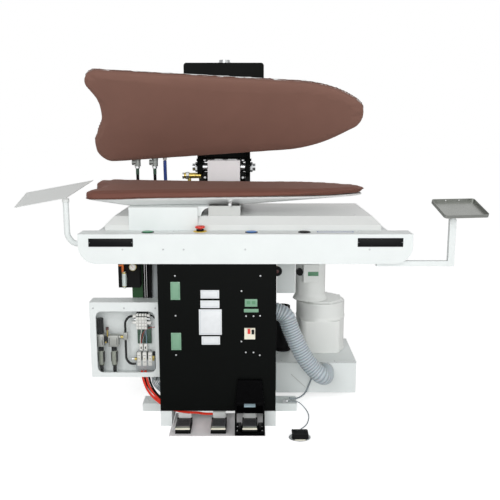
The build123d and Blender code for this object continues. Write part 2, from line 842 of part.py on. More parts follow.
def buck_column():
    """Hollow square column: it carries the buck and is the vacuum way to its port."""
    x0, x1, y0, y1 = column_left_x, column_right_x, column_front_y, column_back_y
    w = column_wall
    column = block(x0, x1, y0, y1, column_bottom_z, 1000)
    pad = block(x0, x1, front_post_y + post_size, y0, ring_bottom_z, slab_under_z)
    column += pad
    column -= block(x0 + w, x1 - w, y0 + w, y1 - w, column_bottom_z + w, 1001)
    port_r = hose_bore_d / 2
    column += crosswise(x1 - 1, x1 + spigot_length, column_mid_y, column_port_z, port_r)
    column -= crosswise(x1 - w - 1, x1 + spigot_length + 1, column_mid_y, column_port_z, port_r - spigot_wall)
    return under_pan(column, 0)


def valve_box_case():
    x0, x1, y0, y1 = vbox_left_x, vbox_right_x, vbox_front_y, vbox_back_y
    z0, z1 = vbox_bottom_z, vbox_top_z
    case = block(x0, x1, y0, y1, z0, z1)
    case -= block(x0 + sheet, x1 - sheet, y0 + sheet, y1 - sheet, z0 + sheet, z1 - sheet)
    return case - front_plate(*window_place(0, y0 - 1, y0 + sheet + 1), window_r)


def window_place(grow, y0, y1):
    """Box of the window opening in the valve box front, grown on every side."""
    middle = vbox_left_x + vbox_width / 2 + 4
    z0 = vbox_bottom_z + 21
    half = window_width / 2
    return middle - half - grow, middle + half + grow, y0, y1, z0 - grow, z0 + window_height + grow


def valve_box_window():
    y = vbox_front_y + sheet
    return front_plate(*window_place(7, y, y + sheet), window_r + 7)


def in_valve_box(shape):
    """Carry a piece from the valve box's lower left corner to its place."""
    return Pos(vbox_left_x, 0, vbox_bottom_z) * shape


def air_filters():
    """Regulator and filter bodies with their bowls, a gauge and the outlet elbow."""
    y = vbox_wall_y - 37
    back = vbox_wall_y
    first = block(18, 52, y - 17, y + 17, 130, 187) + upright(35, y, 107, 133, 14)
    first += upright(35, y, 43, 109, 13) + upright(35, y, 25, 45, 8)
    first += upright(35, y, 185, 201, 15) + upright(35, y, 199, 237, 6)
    second = block(71, 116, y - 17, y + 17, 130, 182) + upright(94, y, 107, 133, 15)
    second += upright(94, y, 43, 109, 14.5) + upright(94, y, 25, 45, 8)
    link = crosswise(47, 74, y, 159, 9) + crosswise(114, 150, y, 173, 8)
    elbow = block(136, 155, y - 9, y + 9, 161, 193)
    gauge = upright(65, y, 162, 195, 4) + endwise(65, y - 17, y - 6, 205, 13)
    gauge += block(61, 69, y - 8, y + 4, 189, 199)
    stays = block(26, 44, y + 16, back, 147, 169) + block(84, 104, y + 16, back, 147, 169)
    return in_valve_box(first + second + link + elbow + gauge + stays)


def regulator_knob():
    y = vbox_wall_y - 37
    knob = upright(35, y, 201 + seat_gap, 257, 15)
    for step in range(12):
        angle = math.radians(30 * step)
        knob -= upright(35 + 15.4 * math.cos(angle), y + 15.4 * math.sin(angle), 209, 258, 1.6)
    return in_valve_box(knob - upright(35, y, 197, 238, 6 + running_gap))


def air_valves():
    """Solenoid manifold, terminal board with its plugs, and the lower valve group."""
    back = vbox_wall_y
    pieces = None
    for step in range(4):
        x = 196 + 12.3 * step
        slice_ = block(x, x + 11.5, back - 44 + 2 * (step % 2), back, 208, 279)
        pieces = slice_ if pieces is None else pieces + slice_
    pieces += block(196, 245, back - 30, back, 217, 271)
    board = block(196, 258, back - 14, back, 133, 209)
    plugs = block(205, 240, back - 26, back, 103, 135)
    lower = block(188, 274, back - 30, back, 14, 59)
    for x in (206, 231, 256):
        lower += upright(x, back - 22, 37, 97, 11) + upright(x, back - 22, 95, 106, 6)
    return in_valve_box(pieces + board + plugs + lower)


def air_tubes():
    """Black air tubes between the filters and the valves, and the risers up to the table."""
    y = vbox_wall_y - 36
    wall = vbox_width - sheet
    first = tube([(196, y, 267), (166, y, 267), (146, y, 243), (146, y, 193)], 10)
    second = tube([(146, y, 161), (146, y, 67), (164, y, 45), (188, y, 45)], 10)
    third = tube([(245, y, 271), (266, y, 271), (282, y, 255), (wall, y, 255)], 7)
    inside = [in_valve_box(pipe) for pipe in (first, second, third)]
    riser_y = vbox_back_y - 6
    riser_xs = [hanger_right_x + 5 + 9 * step for step in range(3)]
    risers = [upright(x, riser_y, vbox_top_z, slab_under_z, 4) for x in riser_xs]
    return inside + risers


def pedal_hoses():
    """Air hoses from the valve box down behind the panel to the two left pedals."""
    lane = panel_front_y + 20
    port = pedal_base_back_y + 10
    start_y = vbox_front_y + 40
    over_rail = rail_height + 14
    middle_port = pedal_middle_x - 28
    middle = [
        (-346, start_y, vbox_bottom_z),
        (-346, start_y, 165),
        (-330, start_y - 30, 128),
        (-275, lane, over_rail + 14),
        (-210, lane, over_rail + 12),
        (-112, lane, 62),
        (-66, port, valve_port_z),
        (middle_port, port, valve_port_z),
    ]
    left_port = pedal_left_x - 10
    left = [
        (-330, start_y, vbox_bottom_z),
        (-330, start_y, 175),
        (-312, start_y - 30, 146),
        (-262, lane + 3, over_rail + 28),
        (-195, port, over_rail + 16),
        (left_port, port, over_rail),
        (left_port, port, valve_block_z),
    ]
    return [tube(middle, hose_size), tube(left, hose_size)]


def relay_box():
    return block(relay_left_x, relay_right_x, relay_front_y, vbox_back_y + 2, 604, 715)


def wiring_duct():
    front = vbox_back_y + 10
    x0, x1 = duct_right_x - duct_width, duct_right_x
    duct = block(x0, x1, front, front + 26, 500, slab_under_z)
    for step in range(28):
        z = 512 + 12 * step
        duct -= block(x0 - 1, x0 + 7, front - 1, front + 14, z, z + 5)
    return duct


def steam_fittings():
    """Bleed elbow and filter, pressure gauge, side valve, and the rear header with its union."""
    front = relay_front_y
    x = bleed_x
    bleed = upright(x, front - 10, 612, 676, 10) + upright(x, front - 10, 604, 614, 6)
    elbow = upright(x - 6, front - 8, 674, 712, 6) + crosswise(x - 24, x - 2, front - 8, 706, 6)
    gauge = endwise(gauge_x, front - 14, front, 698, 16)
    valve = block(frame_half, frame_half + 14, column_back_y - 4, column_back_y + 24, 646, 668)
    stem = endwise(knob_x, knob_y - 6, column_back_y, knob_z, 4)
    header = crosswise(-450, press_center_x - 70, header_y, header_z, 14)
    riser = upright(-165, header_y, header_z, 1056, 9)
    union = crosswise(-199, -132, header_y, 1054, 14) + crosswise(-185, -168, header_y, 1054, 17)
    for x in (hose_xs[0] + 4, hose_xs[1] + 4, air_hose_x):
        header += upright(x, header_y, header_z, header_z + header_socket, 10)
    return [bleed + elbow, gauge, valve + stem, header + riser + union]


def side_knob():
    wheel = endwise(knob_x, knob_y - 6, knob_y + 6, knob_z, 23)
    for step in range(8):
        angle = math.radians(45 * step)
        x, z = knob_x + 25 * math.cos(angle), knob_z + 25 * math.sin(angle)
        wheel -= endwise(x, knob_y - 7, knob_y + 7, z, 5)
    return wheel - endwise(knob_x, knob_y - 7, knob_y + 7, knob_z, 4 + running_gap)


def hose_route(x, top_z):
    """Down from a fitting on the head and back to its socket on the rear header."""
    low = header_z + header_socket
    middle = (top_z + low) / 2
    return [(x, elbow_y, top_z), (x, elbow_y, middle + 28), (x, header_y, middle - 28), (x, header_y, low)]


def head_hoses():
    """Two steam hoses and an air hose from the head down to the rear header."""
    hoses = []
    for x in hose_xs:
        hoses.append(tube(hose_route(x + 4, hose_top_z), 15))
    hoses.append(tube(hose_route(air_hose_x, air_hose_top_z), 17))
    return hoses


def vacuum_box():
    """Vacuum box with its lid, the outlet spigot and the openings of drum and exhaust."""
    x0, x1, y0, y1 = vac_left_x, vac_right_x, vac_front_y, vac_front_y + vac_depth
    box = block(x0, x1, y0, y1, sill_height, vac_top_z - 3)
    box -= block(x0 + sheet, x1 - sheet, y0 + sheet, y1 - sheet, sill_height + sheet, vac_top_z)
    r = hose_bore_d / 2
    box += endwise(outlet_x, y0 - spigot_length, y0 + 1, outlet_z, r)
    box -= endwise(outlet_x, y0 - spigot_length - 1, y0 + sheet + 1, outlet_z, r - spigot_wall)
    lid = block(x0 - 1, x1 + 1, y0 - 1, y1 + 1, vac_top_z - 3, vac_top_z)
    lid -= upright(drum_x, drum_y, vac_top_z - 4, vac_top_z + 1, 70)
    lid -= upright(exhaust_x, exhaust_y, vac_top_z - 4, vac_top_z + 1, exhaust_d / 2 - 4)
    return [box, lid]


def exhaust_pipe():
    pipe = upright(exhaust_x, exhaust_y, vac_top_z, 420, exhaust_d / 2)
    pipe += upright(exhaust_x, exhaust_y, 404, 420, exhaust_d / 2 + 5)
    pipe += upright(exhaust_x, exhaust_y, vac_top_z, vac_top_z + 8, exhaust_d / 2 + 8)
    return pipe - upright(exhaust_x, exhaust_y, vac_top_z - 1, 421, exhaust_d / 2 - 4)


def blower_housing():
    """Round drum with its bands, the squared front, and the opening for the motor shaft."""
    r = drum_d / 2
    z0, z1 = vac_top_z, drum_top_z - 10
    body = upright(drum_x, drum_y, z0, z1, r)
    body += top_plate(drum_x - 105, drum_x + 93, 16, drum_y, z0, 356, 30)
    body += upright(drum_x, drum_y, 354, 362, r + 3)
    body += upright(drum_x, drum_y, z1, drum_top_z, r - 16)
    foot_r = r + 6
    body += upright(drum_x, drum_y, z0, z0 + 6, foot_r)
    body -= upright(drum_x, drum_y, z0 - 1, z1 - drum_wall, r - drum_wall)
    for step in range(8):
        angle = math.radians(22.5 + 45 * step)
        x, y = drum_x + (r - 14) * math.cos(angle), drum_y + (r - 14) * math.sin(angle)
        if math.hypot(x - motor_x, y - motor_y) > motor_foot_r + 8:
            body += upright(x, y, z1 - 2, z1 + 12, 6)
    return body - upright(motor_x, motor_y, z1 - drum_wall - 1, drum_top_z + 1, motor_shaft_d / 2 + 4)


def blower_motor():
    """Motor with its flared foot, shaft, top cap and terminal box."""
    z0 = drum_top_z
    x, y = motor_x, motor_y
    foot = Pos(x, y, z0 + 12.5) * Cone(motor_foot_r, motor_d / 2, 25)
    body = upright(x, y, z0 + 24, z0 + motor_height - 12, motor_d / 2)
    cap = upright(x, y, z0 + motor_height - 12, z0 + motor_height, motor_d / 2 - 8)
    shaft = upright(x, y, vac_top_z + 110, z0 + 1, motor_shaft_d / 2)
    box = block(x - 43, x + 33, y - 102, y - 50, 550, 640)
    return foot + body + cap + shaft + box


def impeller():
    """Flat disc with bent blades on a hub."""
    z0, z1 = vac_top_z + 130, vac_top_z + 175
    r = impeller_d / 2
    wheel = upright(motor_x, motor_y, z1, z1 + 4, r) + upright(motor_x, motor_y, z0, z1 + 1, 16)
    for step in range(8):
        blade = Pos(34, 0, 0) * Rot(0, 0, 25) * Box(38, 3, z1 - z0 + 1)
        wheel += Pos(motor_x, motor_y, (z0 + z1 + 1) / 2) * Rot(0, 0, 45 * step) * blade
    return wheel - upright(motor_x, motor_y, z0 - 1, z1 + 5, motor_shaft_d / 2 + running_gap)


def cable_glands():
    """Gland of the foot switch cable on the front sill, and the gland of the motor cable."""
    x, y = cable_points[0][0], cable_points[0][1]
    sill_gland = block(x - 24, x - 8, y - 9, y + 9, sill_height, 53)
    sill_gland += crosswise(x - 9, x, y, cable_points[0][2], 6)
    left = motor_x - 43
    motor_gland = crosswise(left - 14, left, motor_y - 82, 598, 19)
    motor_gland += crosswise(left - 24, left - 12, motor_y - 82, 598, 12)
    return [sill_gland, motor_gland]


hose_reach = outlet_x - column_right_x
hose_rise = column_port_z - outlet_z
hose_ports = [
    (outlet_x, vac_front_y, outlet_z),
    (outlet_x, vac_front_y - 142, outlet_z),
    (column_right_x + 0.757 * hose_reach, vac_front_y - 140, outlet_z + 0.244 * hose_rise),
    (column_right_x + 0.571 * hose_reach, vac_front_y - 124, outlet_z + 0.691 * hose_rise),
    (column_right_x + 0.491 * hose_reach, column_mid_y, column_port_z),
    (column_right_x, column_mid_y, column_port_z),
]


def vacuum_hose():
    """Ribbed hose from the vacuum box to the buck column, with its bore."""
    path = route(hose_ports, 320.0)
    ribs = int(path.length / hose_rib_pitch)
    pitch = path.length / ribs
    groups = [ribbed_length(path, first, min(first + 6, ribs), pitch) for first in range(0, ribs, 6)]
    start = Plane(origin=hose_ports[0], z_dir=(0, -1, 0))
    bore = sweep(start * Circle(hose_bore_d / 2), path=path)
    print(f"vacuum hose: length {path.length:.0f} mm, {ribs} ribs")
    return groups[0].fuse(*groups[1:]) - bore


def ribbed_length(path, first, last, pitch):
    """Some ribs of the hose as one ruled loft, four circles to a rib."""
    crest, root = hose_d / 2, hose_d / 2 - hose_rib_depth
    rings = [hose_section(path, first * pitch, root)]
    for rib in range(first, last):
        for part, radius in ((0.25, crest), (0.55, crest), (0.8, root), (1.0, root)):
            rings.append(hose_section(path, (rib + part) * pitch, radius))
    return loft(rings, ruled=True)


def hose_section(path, distance, radius):
    share = min(1.0, distance / path.length)
    forward = path.tangent_at(share)
    across = Vector(1, -1, 1).cross(forward)
    return Plane(origin=path.position_at(share), x_dir=across, z_dir=forward) * Circle(radius)


def pedal_plate():
    x = pedal_plate_width / 2
    y0, y1 = pedal_plate_front_y, pedal_plate_front_y + pedal_plate_depth
    t = pedal_plate_thickness
    narrow = frame_half - rail_width - 3
    return block(-x, x, y0, frame_front_y - 2, 0, t) + block(-narrow, narrow, y0 + 50, y1, 0, t)


pedal_pin_y = pedal_front_y + pedal_length - 9
pedal_base_back_y = pedal_front_y + pedal_length


def pedal_base(x):
    """Base with two ears and the hinge pin, and the small air valve behind it."""
    half = pedal_width / 2
    z = pedal_plate_thickness
    base = block(x - half - 1, x + half + 1, pedal_front_y + 11, pedal_base_back_y, z, 12)
    for side in (-1, 1):
        a, b = side * (half + 1), side * (half - 6)
        base += block(x + min(a, b), x + max(a, b), pedal_pin_y - 8, pedal_base_back_y, z, 30)
    base += crosswise(x - half, x + half, pedal_pin_y, pedal_pin_z, 3)
    base += block(x - 28, x + 28, pedal_base_back_y - 1, pedal_base_back_y + 20, z, valve_block_z)
    return base


def pedal(x):
    """Treadle with a deep front lip, rubber tread and a rear knuckle on the hinge pin."""
    half = pedal_width / 2
    y0 = pedal_front_y
    top = pedal_height
    cap = block(x - half, x + half, y0, pedal_pin_y - 12, top - 8, top - 3)
    cap += block(x - half, x + half, y0, y0 + 8, 16, top - 3)
    arm = half - 7
    cap += block(x - arm, x + arm, pedal_pin_y - 13, pedal_pin_y, top - 12, top - 5)
    cap += crosswise(x - arm, x + arm, pedal_pin_y, pedal_pin_z, 6.5)
    cap -= crosswise(x - half, x + half, pedal_pin_y, pedal_pin_z, 3 + running_gap)
    tread = block(x - half + 4, x + half - 4, y0 + 14, pedal_pin_y - 16, top - 3, top)
    for step in range(7):
        y = y0 + 20 + 11 * step
        tread -= block(x - half + 8, x + half - 8, y, y + 4, top - 1.5, top + 1)
    return [cap, tread]


def foot_guard():
    """Cast guard around the right pedal with its tall hood."""
    x0, x1 = pedal_right_x - guard_width / 2, pedal_right_x + guard_width / 2
    z0 = pedal_plate_thickness
    wall = 7
    y0, y1 = pedal_front_y - 9, panel_front_y
    profile = [(y0, z0), (y1, z0), (y1, guard_height), (y1 - 30, guard_height), (y0, z0 + 42)]
    guard = side_prism(x0, x1, profile)
    roof = guard_height - 6
    hollow = [
        (y0 - 1, z0 - 1), (y1, z0 - 1), (y1, valve_block_z + 4),
        (y1 - 8, roof), (y1 - 32, roof), (y0 - 1, guard_height),
    ]
    guard -= side_prism(x0 + wall, x1 - wall, hollow)
    low = Pos(pedal_right_x, y1 - 13, guard_height) * Rectangle(guard_width - 4, 26)
    high = Pos(pedal_right_x, y1 - 8, guard_hood_height) * Rectangle(guard_width - 22, 16)
    hood = loft([low, high])
    return guard + hood


switch_back_y = switch_y + 39.0
cable_points = [
    (315, -225, 45),
    (340, -225, 45),
    (367, -225, 40),
    (388, -227, 20),
    (403, -246, 6),
    (409, -291, 2.6),
    (402, -343, 2.6),
    (390, -388, 2.6),
    (370, -424, 5),
    (358, switch_back_y + 22, 9),
    (358, switch_back_y + 2, 9),
]


def foot_switch_base():
    half = switch_body_width / 2
    base = top_plate(
        switch_x - switch_plate_length / 2, switch_x + switch_plate_length / 2,
        switch_y - switch_plate_width / 2, switch_y + switch_plate_width / 2, 0, 4, 36,
    )
    base += block(switch_x - half + 3, switch_x + half - 3, switch_y - 26, switch_back_y - 8, 3, 12)
    for side in (-1, 1):
        ear_x = switch_x + side * (half - 6)
        base += block(ear_x - 3, ear_x + 3, switch_back_y - 22, switch_back_y - 8, 3, 26)
    base += crosswise(switch_x - half + 4, switch_x + half - 4, switch_back_y - 15, 19, 2.5)
    x, y, z = cable_points[-1]
    return base + endwise(x, switch_back_y - 9, y, z, 5.5)


def foot_switch_treadle():
    half = switch_body_width / 2
    y0 = switch_y - 33
    hinge = switch_back_y - 15
    cap = block(switch_x - half, switch_x + half, y0, hinge - 9, 24, 30)
    cap += block(switch_x - half, switch_x + half, y0, y0 + 5, 10, 25)
    arm = half - 10
    cap += block(switch_x - arm, switch_x + arm, hinge - 10, hinge, 19, 27)
    cap += crosswise(switch_x - arm, switch_x + arm, hinge, 19, 5.5)
    cap -= crosswise(switch_x - half, switch_x + half, hinge, 19, 2.5 + running_gap)
    for step in range(5):
        cap -= block(switch_x - half + 6, switch_x + half - 6, y0 + 9 + 8 * step, y0 + 12 + 8 * step, 29, 31)
    return cap


def foot_switch_cable():
    radii = bend_radii(cable_points, 1000.0)
    path = route(cable_points)
    cable = tube(cable_points, cable_d)
    section = math.pi * cable_d ** 2 / 4
    print("cable radii", [round(radius, 1) for radius in radii], f"length {path.length:.1f} mm")
    print(f"cable volume {cable.volume:.1f}, section times length {section * path.length:.1f}")
    return cable


def button_bezels():
    z = table_top_z
    rings = []
    for x in (start_x, blue_x, black_x):
        ring = upright(x, button_row_y, z, z + 5, bezel_d / 2)
        rings.append(ring - upright(x, button_row_y, z - 1, z + 6, button_d / 2 + running_gap))
    plate = upright(stop_x, stop_y, z, z + 2, 29) + upright(stop_x, stop_y, z + 1, z + 10, 16)
    rings.append(plate - upright(stop_x, stop_y, z - 1, z + 11, 8 + running_gap))
    return rings


def push_button(x):
    z = table_top_z
    return upright(x, button_row_y, z + 1, z + 7.5, button_d / 2) + upright(x, button_row_y, z - 14, z + 2, 9)


def stop_button():
    z = table_top_z
    head = upright(stop_x, stop_y, z + 15, z + 21, stop_d / 2)
    head += Pos(stop_x, stop_y, z + 23) * Cone(stop_d / 2, stop_d / 2 - 5, 4)
    return head + upright(stop_x, stop_y, z + 1.5, z + 16, 8)


def tray_arms():
    """Bent tube of the left tray, square bar and post of the right tray."""
    x, y = left_post_x, left_post_y
    r = arm_tube_d / 2
    left = tube([(table_left_x, y, 808), (x + 26, y, 808), (x, y, 840), (x, y, left_post_top_z)], arm_tube_d)
    left += crosswise(table_left_x - 4, table_left_x, y, 808, 20)
    left -= upright(x, y, left_post_top_z - 36, left_post_top_z + 1, tray_stub_d / 2 + running_gap)
    x, y, half = right_post_x, right_post_y, right_post_width / 2
    bar_y = fascia_front_y + fascia_rim
    z0 = right_bar_z
    bar = block(right_bar_x, x + half, bar_y, bar_y + 24, z0, z0 + 22)
    post = block(x - half, x + half, bar_y, bar_y + 24, z0, right_post_top_z - 6)
    post += upright(x, bar_y + 12, right_post_top_z - 7, right_post_top_z, 11.9)
    post -= upright(x, bar_y + 12, right_post_top_z - 40, right_post_top_z + 1, tray_stub_d / 2 + running_gap)
    hanger = block(700, 712, bar_y, bar_y + 24, z0 + 20, slab_under_z)
    return [left, bar + post + hanger]


def left_tray():
    """Flat sheet tray on a swivel stub, tilted up towards the back and the buck."""
    x, y, top = left_post_x, left_post_y, left_post_top_z
    normal = Vector(-left_tray_slope_x, -left_tray_slope_y, 1)
    sheet_plane = Plane(origin=(x, y, top + 14), z_dir=normal)
    outline = Polyline(*left_tray_corners, close=True)
    column = Pos(0, 0, top - 200) * extrude(make_face(outline), 400)
    plate = column & (sheet_plane * Box(900, 900, 2))
    boss = upright(x, y, top + seat_gap, top + 18, 15) & (sheet_plane * Pos(0, 0, -49.5) * Box(90, 90, 99))
    return plate + boss + upright(x, y, top - 34, top + 5, tray_stub_d / 2)


def right_tray():
    """Shallow stainless dish on a swivel stub, tilted towards the operator."""
    w, d, h, t = right_tray_width, right_tray_depth, right_tray_rim, 1.5
    x, y, top = right_post_x, fascia_front_y + fascia_rim + 12, right_post_top_z
    tilt = Rot(0, 0, right_tray_turn) * Rot(right_tray_tilt, 0, 0)
    place = Pos(x + 26, y, top + 33) * tilt
    dish = extrude(RectangleRounded(w, d, 12), h)
    dish -= Pos(0, 0, t) * extrude(RectangleRounded(w - 2 * t, d - 2 * t, 12 - t), h)
    for side in (-1, 1):
        dish -= Pos(side * 30, d / 2, h / 2) * Rot(90, 0, 0) * Cylinder(2.5, 10)
    boss = upright(x, y, top + seat_gap, top + 60, 11)
    boss -= place * Pos(0, 0, t / 2 + 60) * Box(400, 400, 120)
    return place * dish + boss + upright(x, y, top - 38, top + 5, tray_stub_d / 2)


def main():
    os.makedirs("parts", exist_ok=True)
    save("base_frame", base_frame())
    save("body_frame", body_frame())
    save("hinge_column", *hinge_column())
    save("front_panel", front_panel())
    save("cover_screws", *cover_screws())
    save("panel_plates", *panel_plates())
    save("starter_case", starter_case())
    save("starter_stop", starter_key(stop_key))
    save("starter_start", starter_key(start_key))
    save("table_fascia", table_fascia())
    save("table_slab", table_slab())
    save("table_hood", table_hood())
    save("pedestal_cover", pedestal_cover())
    save("buck_column", buck_column())
    save("buck_pan", buck_pan())
    save("buck_pad", buck_pad())
    save("head_pad", head_pad())
    save("head_chest", head_chest())
    save("head_yoke", head_yoke())
    save("pivot_shaft", pivot_shaft())
    save("rear_cover", rear_cover())
    save("hinge_cover", hinge_cover())
    save("cylinder_barrel", cylinder_barrel())
    save("cylinder_rod", cylinder_rod())
    save("head_hoses", *head_hoses())
    save("steam_fittings", *steam_fittings())
    save("side_knob", side_knob())
    save("relay_box", relay_box())
    save("wiring_duct", wiring_duct())
    save("valve_box_case", valve_box_case())
    save("valve_box_window", valve_box_window())
    save("air_filters", air_filters())
    save("regulator_knob", regulator_knob())
    save("air_valves", air_valves())
    save("air_tubes", *air_tubes())
    save("pedal_hoses", *pedal_hoses())
    save("pedal_plate", pedal_plate())
    save("pedal_bases", *[pedal_base(x) for x in (pedal_left_x, pedal_middle_x, pedal_right_x)])
    save("foot_guard", foot_guard())
    save("left_pedal", *pedal(pedal_left_x))
    save("middle_pedal", *pedal(pedal_middle_x))
    save("right_pedal", *pedal(pedal_right_x))
    save("foot_switch_base", foot_switch_base())
    save("foot_switch_treadle", foot_switch_treadle())
    save("foot_switch_cable", foot_switch_cable())
    save("cable_glands", *cable_glands())
    save("vacuum_box", *vacuum_box())
    save("exhaust_pipe", exhaust_pipe())
    save("blower_housing", blower_housing())
    save("blower_motor", blower_motor())
    save("impeller", impeller())
    save("vacuum_hose", vacuum_hose())
    save("button_bezels", *button_bezels())
    save("green_button", push_button(start_x))
    save("blue_button", push_button(blue_x))
    save("black_button", push_button(black_x))
    save("stop_button", stop_button())
    save("tray_arms", *tray_arms())
    save("left_tray", left_tray())
    save("right_tray", right_tray())


if __name__ == "__main__":
    main()
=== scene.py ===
"""Looks of a trouser legger press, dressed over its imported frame. Lengths are in metres, +Z up."""
import logging
import math
from collections.abc import Sequence
from dataclasses import dataclass
from enum import Enum

import bmesh
import bpy
from mathutils import Matrix, Vector, noise


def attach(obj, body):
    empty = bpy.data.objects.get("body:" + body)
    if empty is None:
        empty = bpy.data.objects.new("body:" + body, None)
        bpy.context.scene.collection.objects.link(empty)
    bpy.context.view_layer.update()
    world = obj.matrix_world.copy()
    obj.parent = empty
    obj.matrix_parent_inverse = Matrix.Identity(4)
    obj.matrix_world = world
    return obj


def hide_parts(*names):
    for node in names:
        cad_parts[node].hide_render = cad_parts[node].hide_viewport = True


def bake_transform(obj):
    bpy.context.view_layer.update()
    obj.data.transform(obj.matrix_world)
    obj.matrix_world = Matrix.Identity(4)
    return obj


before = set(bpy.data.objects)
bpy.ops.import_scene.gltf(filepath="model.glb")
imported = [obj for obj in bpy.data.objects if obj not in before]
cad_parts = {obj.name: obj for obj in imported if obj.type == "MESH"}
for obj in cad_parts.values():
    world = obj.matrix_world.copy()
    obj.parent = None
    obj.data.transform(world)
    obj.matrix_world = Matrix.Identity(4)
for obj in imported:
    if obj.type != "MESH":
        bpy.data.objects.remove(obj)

LOG = logging.getLogger("legger_press")
MM = 0.001
NODES: dict[str, bpy.types.Object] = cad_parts

# Press plane and hinge, as the frame has them.
BUCK_FRONT = Vector((0.0, -0.310, 1.026))
BUCK_TILT = math.radians(2.0)
HINGE = Vector((0.0, 0.251, 1.095))
HEAD_OPEN = math.radians(56.0)
TABLE_TOP = 0.860
FASCIA_FRONT = -0.420
PANEL_FRONT = -0.396
BOX_LEFT, BOX_BOTTOM = -0.562, 0.203

Point = tuple[float, float, float]

# The sRGB curve: its straight part's end and slope, then its offset, scale and power.
SRGB_KNEE, SRGB_SLOPE = 0.04045, 12.92
SRGB_OFFSET, SRGB_SCALE, SRGB_POWER = 0.055, 1.055, 2.4


def press_plane() -> Matrix:
    """Matrix from the press plane to the row frame."""
    return Matrix.Translation(BUCK_FRONT) @ Matrix.Rotation(BUCK_TILT, 4, "X")


def head_plane() -> Matrix:
    """Matrix from the press plane to the open, resting head."""
    swing = Matrix.Rotation(-HEAD_OPEN, 4, "X")
    return Matrix.Translation(HINGE) @ swing @ Matrix.Translation(-HINGE) @ press_plane()


# ---- shader helpers ------------------------------------------------------------------------


def linear(code: str) -> tuple[float, float, float, float]:
    """Turns an sRGB hex code into a linear colour.

    Args:
        code: Six hex digits after a hash.

    Returns:
        Red, green, blue and an alpha of 1.
    """
    parts = [int(code[i : i + 2], 16) / 255 for i in (1, 3, 5)]
    red, green, blue = (
        c / SRGB_SLOPE if c <= SRGB_KNEE else ((c + SRGB_OFFSET) / SRGB_SCALE) ** SRGB_POWER
        for c in parts
    )
    return red, green, blue, 1.0


def add(tree: bpy.types.NodeTree, kind: str, settings: dict | None = None, links: dict | None = None):
    """Adds a node with its settings and its inputs.

    Args:
        tree: The tree that gets the node.
        kind: The node's type name.
        settings: Attributes of the node.
        links: Inputs by identifier, each a value or another node's output socket.

    Returns:
        The new node.
    """
    node = tree.nodes.new(kind)
    for name, value in (settings or {}).items():
        setattr(node, name, value)
    for name, value in (links or {}).items():
        known = [s for s in node.inputs if s.identifier == name]
        socket = (known or [s for s in node.inputs if s.name == name])[0]
        if isinstance(value, bpy.types.NodeSocket):
            tree.links.new(value, socket)
        else:
            socket.default_value = value
    return node


def out(node: bpy.types.Node, name: str) -> bpy.types.NodeSocket:
    """The node's output with that identifier."""
    return next(s for s in node.outputs if name in (s.identifier, s.name))


def shade(code: str, factor: float) -> tuple[float, float, float, float]:
    """A colour made lighter or darker by a factor, in linear light."""
    red, green, blue, alpha = linear(code)
    return min(1.0, red * factor), min(1.0, green * factor), min(1.0, blue * factor), alpha


# ---- finishes ------------------------------------------------------------------------------

MADE: dict[str, bpy.types.Material] = {}


@dataclass(frozen=True)
class Finish:
    """A material, named for what the real one is and how its surface was made."""

    name: str
    colour: str
    roughness: float
    slot: str

    def material(self) -> bpy.types.Material:
        """Builds the material once.

        Returns:
            The Blender material.
        """
        if self.name not in MADE:
            made = bpy.data.materials.new(self.name)
            made.use_nodes = True
            tree = made.node_tree
            shader = next(n for n in tree.nodes if n.type == "BSDF_PRINCIPLED")
            shader.inputs["Base Color"].default_value = linear(self.colour)
            shader.inputs["Roughness"].default_value = self.roughness
            self.detail(tree, shader)
            MADE[self.name] = made
        return MADE[self.name]

    def detail(self, tree: bpy.types.NodeTree, shader: bpy.types.Node) -> None:
        """Adds what is special to the finish."""

    def place(self, tree: bpy.types.NodeTree) -> bpy.types.NodeSocket:
        """The piece's own object coordinates."""
        return add(tree, "ShaderNodeTexCoord").outputs["Object"]

    def grain(self, tree: bpy.types.NodeTree, size_mm: float, detail: float = 2.0,
              stretch: Point = (1, 1, 1)):
        """Noise whose lumps are about that many millimetres across.

        Args:
            tree: The material's tree.
            size_mm: Size of a lump.
            detail: Octaves of finer noise.
            stretch: Factors along the axes; a small one draws the lumps out.

        Returns:
            The noise's factor socket.
        """
        turned = add(tree, "ShaderNodeMapping", None, {"Vector": self.place(tree), "Scale": stretch})
        node = add(tree, "ShaderNodeTexNoise", None, {
            "Vector": turned.outputs[0], "Scale": 1 / (size_mm * MM), "Detail": detail, "Roughness": 0.55,
        })
        return out(node, "Fac")

    def tone(self, tree, shader, fac, low: float, high: float) -> None:
        """Varies the base colour between two brightness factors."""
        mix = add(tree, "ShaderNodeMix", {"data_type": "RGBA"}, {
            "Factor_Float": fac, "A_Color": shade(self.colour, low), "B_Color": shade(self.colour, high),
        })
        tree.links.new(out(mix, "Result_Color"), shader.inputs["Base Color"])

    def rough(self, tree, shader, fac, spread: float) -> None:
        """Varies the roughness about its value."""
        span = add(tree, "ShaderNodeMapRange", None, {
            "Value": fac, "To Min": max(0.0, self.roughness - spread),
            "To Max": min(1.0, self.roughness + spread),
        })
        tree.links.new(out(span, "Result"), shader.inputs["Roughness"])

    def bump(self, tree, shader, height, depth_mm: float, strength: float = 0.5, under=None):
        """Adds a bump of that depth and links it to the shader's normal."""
        links = {"Height": height, "Distance": depth_mm * MM, "Strength": strength}
        if under is not None:
            links["Normal"] = under
        node = add(tree, "ShaderNodeBump", None, links)
        tree.links.new(node.outputs[0], shader.inputs["Normal"])
        return node.outputs[0]


